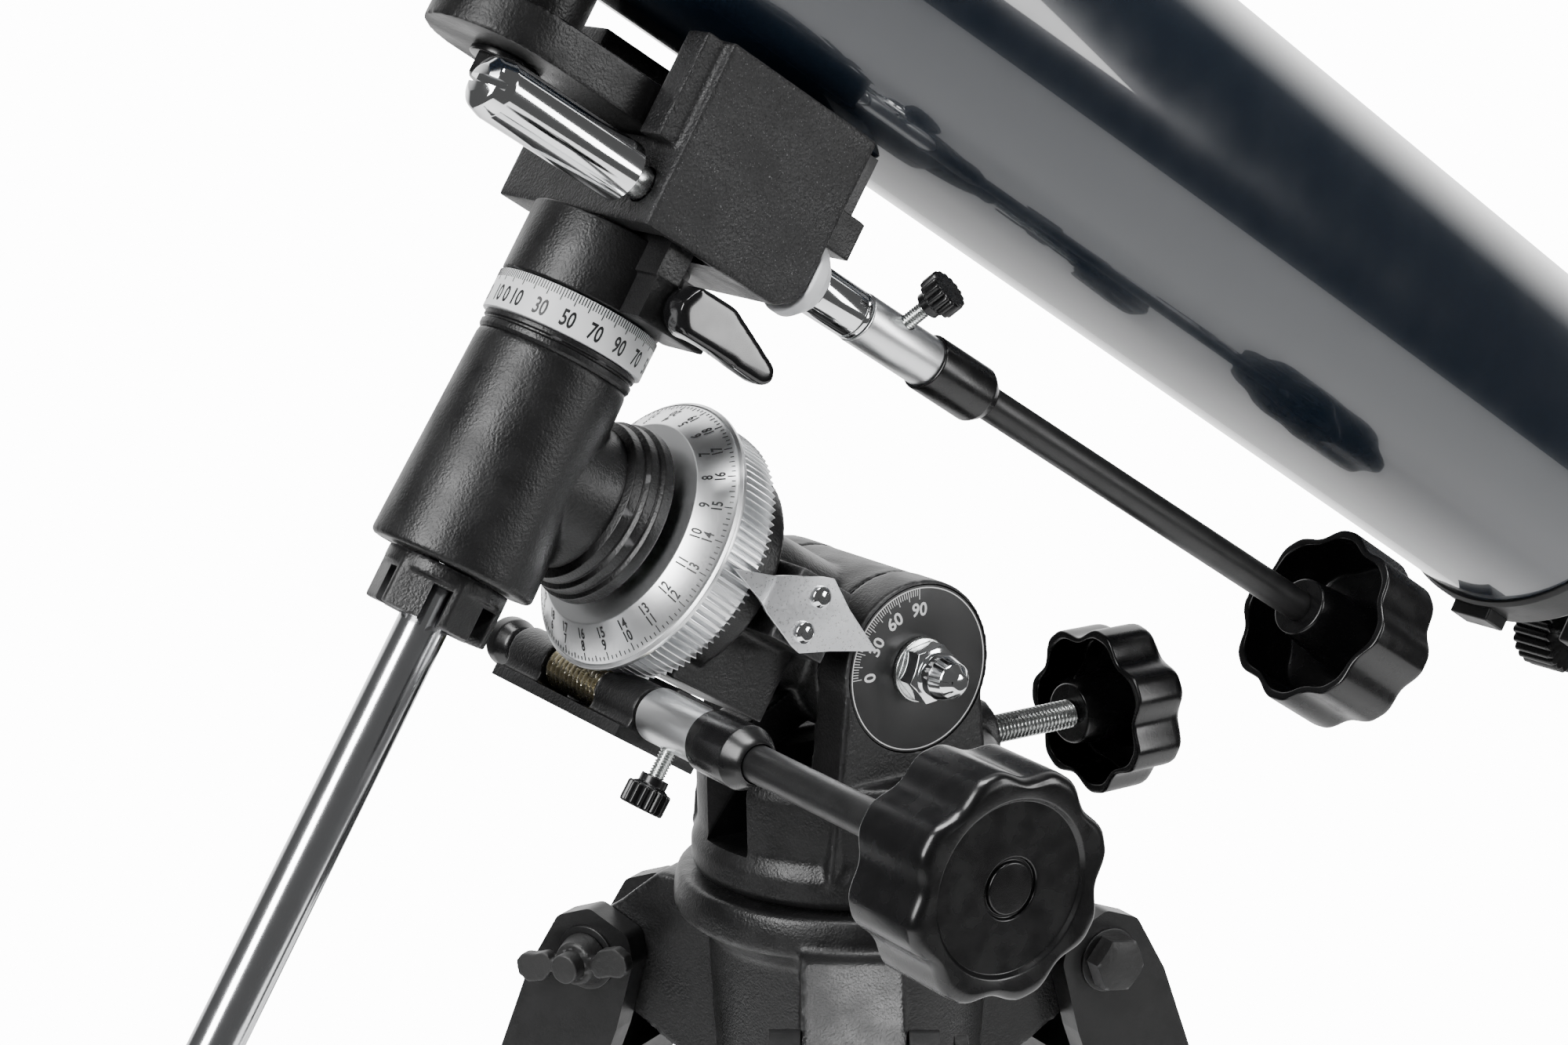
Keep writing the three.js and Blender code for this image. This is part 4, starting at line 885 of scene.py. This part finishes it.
# ---- declination head, saddle and slow motion ----------------------------------------------------
def build_dec_head():
    face = [(81.8, 102.4), (128.5, 102.4), (128.5, 57.2), (88, 57.2), (83.5, 60), (81.8, 64)]
    floor = [(128.5, 57.2), (88, 57.2), (83.5, 60), (83.5, 77.6), (128.5, 77.6)]
    parts = [prism(face, -32, -20.5), prism(face, 20.5, 32), prism(floor, -21, 21),
             box(128, 134, 76, 102, -29, -20.5)]
    holes = [box(107, 122, 50, 80, -30.3, -11), rod(4.4, 60, 110, "x", DRIVE, 48),
             rod(4.4, 120, 140, "x", SPRING, 48), rod(TUBE_R + 0.4, 60, 150, "x", TUBE_AT, 160)]
    put("dec_head_casting", cast(parts, 0.7, 3, holes), POLAR, CAST_COARSE, "dec_head")
    put("dec_head_axle", rod(9, 1, 60, "y", DEC_AT, 64), POLAR, ZINC, "dec_head")

    arc = [(161 + 19.8 * math.cos(t), 19.8 * math.sin(t))
           for t in (-math.pi / 2 + math.pi * i / 40 for i in range(41))]
    plan = [(66, -19.8), *arc, (66, 19.8)]
    bar = cast([upright(plan, 78, 88)], 0.6, 4,
               [rod(4.3, 70, 95, "y", (160, 0, 0), 48), rod(4.3, 70, 95, "y", (74.5, 0, 0), 48)])
    put("saddle_bar_casting", bar, POLAR, CAST, "saddle_bar")
    room = rod(TUBE_R + 0.3, 0, 250, "x", TUBE_AT, 160)
    front = cut(rod(12, 88.3, 104, "y", (160, 0, 0), 64), room, rod(4.3, 70, 99.5, "y", (160, 0, 0), 48))
    put("tube_foot_front_block", front, POLAR, CAST, "tube_foot_front", 0.3)
    room = rod(TUBE_R + 0.3, 0, 250, "x", TUBE_AT, 160)
    rear = cut(box(66.5, 81, 88.3, 104, -14, 14), room, rod(4.3, 70, 99.5, "y", (74.5, 0, 0), 48))
    put("tube_foot_rear_block", rear, POLAR, CAST, "tube_foot_rear", 0.5)
    for tag, s in (("front", 160), ("rear", 74.5)):
        node = f"saddle_bolt_{tag}"
        put(f"{node}_head", hex_part(12, 71, 76.2, "low", "y", (s, 0, 0), 0.4), POLAR, PLASTIC, node, 0.4)
        put(f"{node}_washer", ring(4, 8.5, 76.1, 77.7, "y", (s, 0, 0), 96, 0.4), POLAR, PLASTIC, node)
        put(f"{node}_shank", rod(4, 73, 99, "y", (s, 0, 0), 48), POLAR, ZINC, node)

    cap = [(4.5, 134.3, 0.1), (7.2, 134.3, 0.3), (7.2, 172, 2.5), (6.2, 175.6, 2), (3.4, 177.2, 1.5),
           (0, 177.4, 0), (0, 168, 0), (4.5, 168, 0)]
    slotted = cut(lathe(fillet(cap, 0.4, 6), "x", SPRING, 128), box(173.8, 180, 65.1, 66.9, -40, 0))
    put("spring_housing_body", slotted, POLAR, CHROME, "spring_housing", 0.15)
    pin = lathe(fillet([(0, 118.8, 0), (2.2, 118.8), (4, 121), (4, 160), (0, 160, 0)], 0.4), "x", SPRING)
    put("spring_plunger_pin", pin, POLAR, ZINC, "spring_plunger")

    outline = [(4.4, 75.3), (7, 75.3), (9.6, 78.5), (9.6, 81.5), (4.4, 81.5)]
    washer = lathe(fillet(outline, 0.7, 4, True), "x", DRIVE)
    put("dec_collar_washer", washer, POLAR, NYLON, "dec_collar")
    bush = [(4, 59.7), (6.2, 59.7), (6.2, 61.0, 0.1), (5.9, 61.3, 0.1), (6.2, 61.6, 0.1), (6.2, 74.9),
            (4, 74.9)]
    put("dec_screw_bush", lathe(fillet(bush, 0.35, 3, True), "x", DRIVE), POLAR, CHROME, "dec_screw")
    put("dec_screw_shank", rod(4, 42, 75, "x", DRIVE), POLAR, CHROME, "dec_screw")
    put("dec_screw_thread", thread(4, 0.6, 1.25, 74.9, 107.6, "x", DRIVE), POLAR, ZINC, "dec_screw")

    aim = Vector((0, 0.75, -0.66))
    screw_at = (48, DRIVE[1], DRIVE[2])
    turn = Matrix.Translation(screw_at) @ aimed(aim)
    socket = cut(rod(6.4, 33.5, 59.3, "x", DRIVE, 96, 0.4), rod(4.3, 41, 70, "x", DRIVE),
                 moved(rod(2.2, 0, 12), turn))
    put("dec_control_socket", socket, POLAR, TURNED, "dec_control")
    outline = [(6.5, 35), (7.25, 34.8), (7.3, 16.8, 1.2), (4.3, 12, 1.0), (4.2, 20)]
    sleeve = lathe(fillet(outline, 0.5, 4, True), "x", DRIVE)
    put("dec_control_collar", sleeve, POLAR, PLASTIC, "dec_control")
    put("dec_control_rod", rod(4.3, -140, 20, "x", DRIVE, 64), POLAR, SATIN_PLASTIC, "dec_control")
    knob = moved(cup_knob(25, 8, -122, -145, 8, -116, 2.3), Matrix.Translation(DRIVE) @ TO_AXIS["x"])
    put("dec_control_knob", knob, POLAR, PLASTIC, "dec_control")
    thumb_screw("dec_control_screw", POLAR, screw_at, aim, 5, 12.5, 20)


# ---- optical tube --------------------------------------------------------------------------------
def build_tube():
    put("tube_shell", ring(TUBE_R - 1.5, TUBE_R, -203, 375, "x", TUBE_AT, 256, 0.2), POLAR, NAVY, "tube")
    outline = [(41.7, 375.4), (53, 375.4), (54.5, 378), (54.5, 468), (53.5, 470), (51.5, 470),
               (51.5, 397), (41.7, 397)]
    shade = lathe(fillet(outline, 0.8, 4, True), "x", TUBE_AT, 192)
    put("dew_shield_shell", shade, POLAR, CAST, "dew_shield")
    lens = [(0, 362, 0), (18, 363.6, 6), (41, 367.5, 0.4), (41, 380, 0.4), (18, 384, 6), (0, 385.6, 0)]
    put("objective_lens", lathe(fillet(lens, 1, 8), "x", TUBE_AT, 128), POLAR, LENS, "objective")
    body = [(22.5, -300), (28.5, -300), (28.5, -243, 3), (33, -238, 3), (46, -219, 1), (47.6, -216, 0.6),
            (47.6, -204.6, 0.6), (46.6, -203.4, 0.3), (22.5, -203.4)]
    body = lathe(fillet(body, 0.6, 4, True), "x", TUBE_AT, 192)
    put("focuser_body", body, POLAR, SATIN_PLASTIC, "focuser")
    pinion = cut(box(-299, -262, 110.6, 124.6, -13, 13), rod(3.4, -60, 60, "z", FOCUS_AXLE, 48))
    put("focuser_pinion_box", pinion, POLAR, SATIN_PLASTIC, "focuser", 1.2)
    put("focuser_boss", box(-214.5, -205.5, 97.6, 104.6, -7, 7), POLAR, SATIN_PLASTIC, "focuser", 0.6)
    put("drawtube_barrel", ring(16.6, 22.1, -332, -215, "x", TUBE_AT, 160, 0.3), POLAR, CHROME, "drawtube")
    put("drawtube_collar", ring(16.6, 26, -344, -331, "x", TUBE_AT, 160, 0.8), POLAR, PLASTIC, "drawtube")
    turn = Matrix.Translation(FOCUS_AXLE)
    put("focus_axle", moved(rod(3, -38, 38), turn), POLAR, ZINC, "focus_knobs")
    for tag, low in (("near", -38), ("far", 24)):
        knob = lobed_ring(13, 1.2, 24, low, low + 14, 1.0, 288)
        put(f"focus_knob_{tag}", moved(knob, turn), POLAR, PLASTIC, "focus_knobs")

    corner = [(-346, -20), (-346, 20), (-386, 20), (-386, 8), (-358, -20)]
    shell = prism([(s, TUBE_AT[1] + d) for s, d in corner], -20, 20)
    shell = cut(shell, rod(12, -352, -310, "x", TUBE_AT), rod(16.2, 21, 60, "y", EYEPIECE_AT))
    put("diagonal_shell", shell, POLAR, GLOSS, "diagonal", 1.2)
    put("diagonal_nose", ring(12, 15.9, -350, -322, "x", TUBE_AT, 128, 0.4), POLAR, CHROME, "diagonal")
    put("diagonal_holder", ring(16.2, 18, 19, 48, "y", EYEPIECE_AT, 128, 0.4), POLAR, PLASTIC, "diagonal")
    cup = [(0, 24, 0), (15.9, 24, 0.4), (15.9, 48.4, 0), (20, 48.4, 1), (20, 70, 1.5), (17, 82, 1.5),
           (13, 82, 1), (11, 77, 1), (0, 77, 0)]
    put("eyepiece_body", lathe(fillet(cup, 0.6), "y", EYEPIECE_AT, 128), POLAR, PLASTIC, "eyepiece")

    tilt = Matrix.Translation(TUBE_AT) @ Matrix.Rotation(math.radians(42), 4, "X")
    shoe = boolean(box(-196, -150, 0, 12, -16, 16), "UNION", box(-196, -150, 8, 17, -16, -10),
                   box(-196, -150, 8, 17, 10, 16))
    shoe = moved(moved(shoe, Matrix.Translation((0, TUBE_R - 5, 0))), tilt)
    shoe = cut(shoe, rod(TUBE_R + 0.3, -250, 0, "x", TUBE_AT, 160))
    put("finder_shoe_block", shoe, POLAR, SATIN_PLASTIC, "finder_shoe", 0.8)


build_stand()
for leg_key in ("front", "right", "left"):
    build_leg(leg_key)
build_fork()
build_polar()
build_dec_housing()
build_dec_clamp()
build_dec_head()
build_tube()


# ---- floor, lights and camera --------------------------------------------------------------------
FLOOR_RADIUS = 1.3
BACKDROP_SEEN = 14.0
BACKDROP_LIT = 2.4
ROOM_LIT = 0.09
CAMERA_FROM_PIVOT = Vector((-0.46219, -0.61725, 0.20949))
CAMERA_FORWARD = Vector((0.568, 0.791, -0.226)).normalized()
CAMERA_LENS = 73.55
CAMERA_ROLL = math.radians(0.23)


def flat_floor():
    bm = bmesh.new()
    turns = [TAU * i / 96 for i in range(96)]
    rim = [bm.verts.new((FLOOR_RADIUS * math.cos(t), FLOOR_RADIUS * math.sin(t), 0)) for t in turns]
    bm.faces.new(rim)
    mesh = bpy.data.meshes.new("floor")
    bm.to_mesh(mesh)
    bm.free()
    material, _, _ = shader("floor_pale", (0.9, 0.9, 0.9), 0.6)
    mesh.materials.append(material)
    floor = bpy.data.objects.new("floor", mesh)
    bpy.context.scene.collection.objects.link(floor)


def area_light(name, at, target, size, power):
    data = bpy.data.lights.new(name, "AREA")
    data.shape = "RECTANGLE"
    data.size, data.size_y = size
    data.energy = power
    light = bpy.data.objects.new(name, data)
    light.location = at
    light.rotation_euler = (Vector(target) - Vector(at)).to_track_quat("-Z", "Y").to_euler()
    bpy.context.scene.collection.objects.link(light)


def studio():
    """A white backdrop behind the object, a dark room in front of it and three softboxes."""
    world = bpy.data.worlds.new("studio")
    bpy.context.scene.world = world
    world.use_nodes = True
    tree = world.node_tree
    background = tree.nodes["Background"]
    background.inputs["Color"].default_value = (1, 1, 1, 1)
    where = tree.nodes.new("ShaderNodeTexCoord")
    facing = tree.nodes.new("ShaderNodeVectorMath")
    facing.operation = "DOT_PRODUCT"
    facing.inputs[1].default_value = (0.583, 0.812, 0.15)
    tree.links.new(where.outputs["Generated"], facing.inputs[0])
    room = ramp(tree, facing.outputs["Value"], 0.5, 0.92, ROOM_LIT, BACKDROP_LIT)
    path = tree.nodes.new("ShaderNodeLightPath")
    seen = tree.nodes.new("ShaderNodeMix")
    tree.links.new(path.outputs["Is Camera Ray"], seen.inputs["Factor"])
    tree.links.new(room, seen.inputs[2])
    seen.inputs[3].default_value = BACKDROP_SEEN
    tree.links.new(seen.outputs[0], background.inputs["Strength"])
    area_light("left_softbox", PIVOT + Vector((-1.5, -0.3, 0.9)), PIVOT, (0.7, 1.3), 48)
    area_light("right_softbox", PIVOT + Vector((0.9, -1.3, 0.35)), PIVOT, (0.3, 1.2), 13)
    area_light("top_softbox", PIVOT + Vector((-0.1, -0.1, 1.6)), PIVOT, (1.0, 0.6), 44)


def camera():
    data = bpy.data.cameras.new("camera")
    data.lens = CAMERA_LENS
    data.sensor_width = 36
    cam = bpy.data.objects.new("camera", data)
    level = CAMERA_FORWARD.cross(UP).normalized()
    upward = level.cross(CAMERA_FORWARD)
    right = level * math.cos(CAMERA_ROLL) + upward * math.sin(CAMERA_ROLL)
    up = upward * math.cos(CAMERA_ROLL) - level * math.sin(CAMERA_ROLL)
    turn = Matrix((right, up, -CAMERA_FORWARD)).transposed().to_4x4()
    cam.matrix_world = Matrix.Translation(PIVOT + CAMERA_FROM_PIVOT) @ turn
    data.clip_start = 0.01
    data.clip_end = 100
    bpy.context.scene.collection.objects.link(cam)
    bpy.context.scene.camera = cam


flat_floor()
studio()
camera()
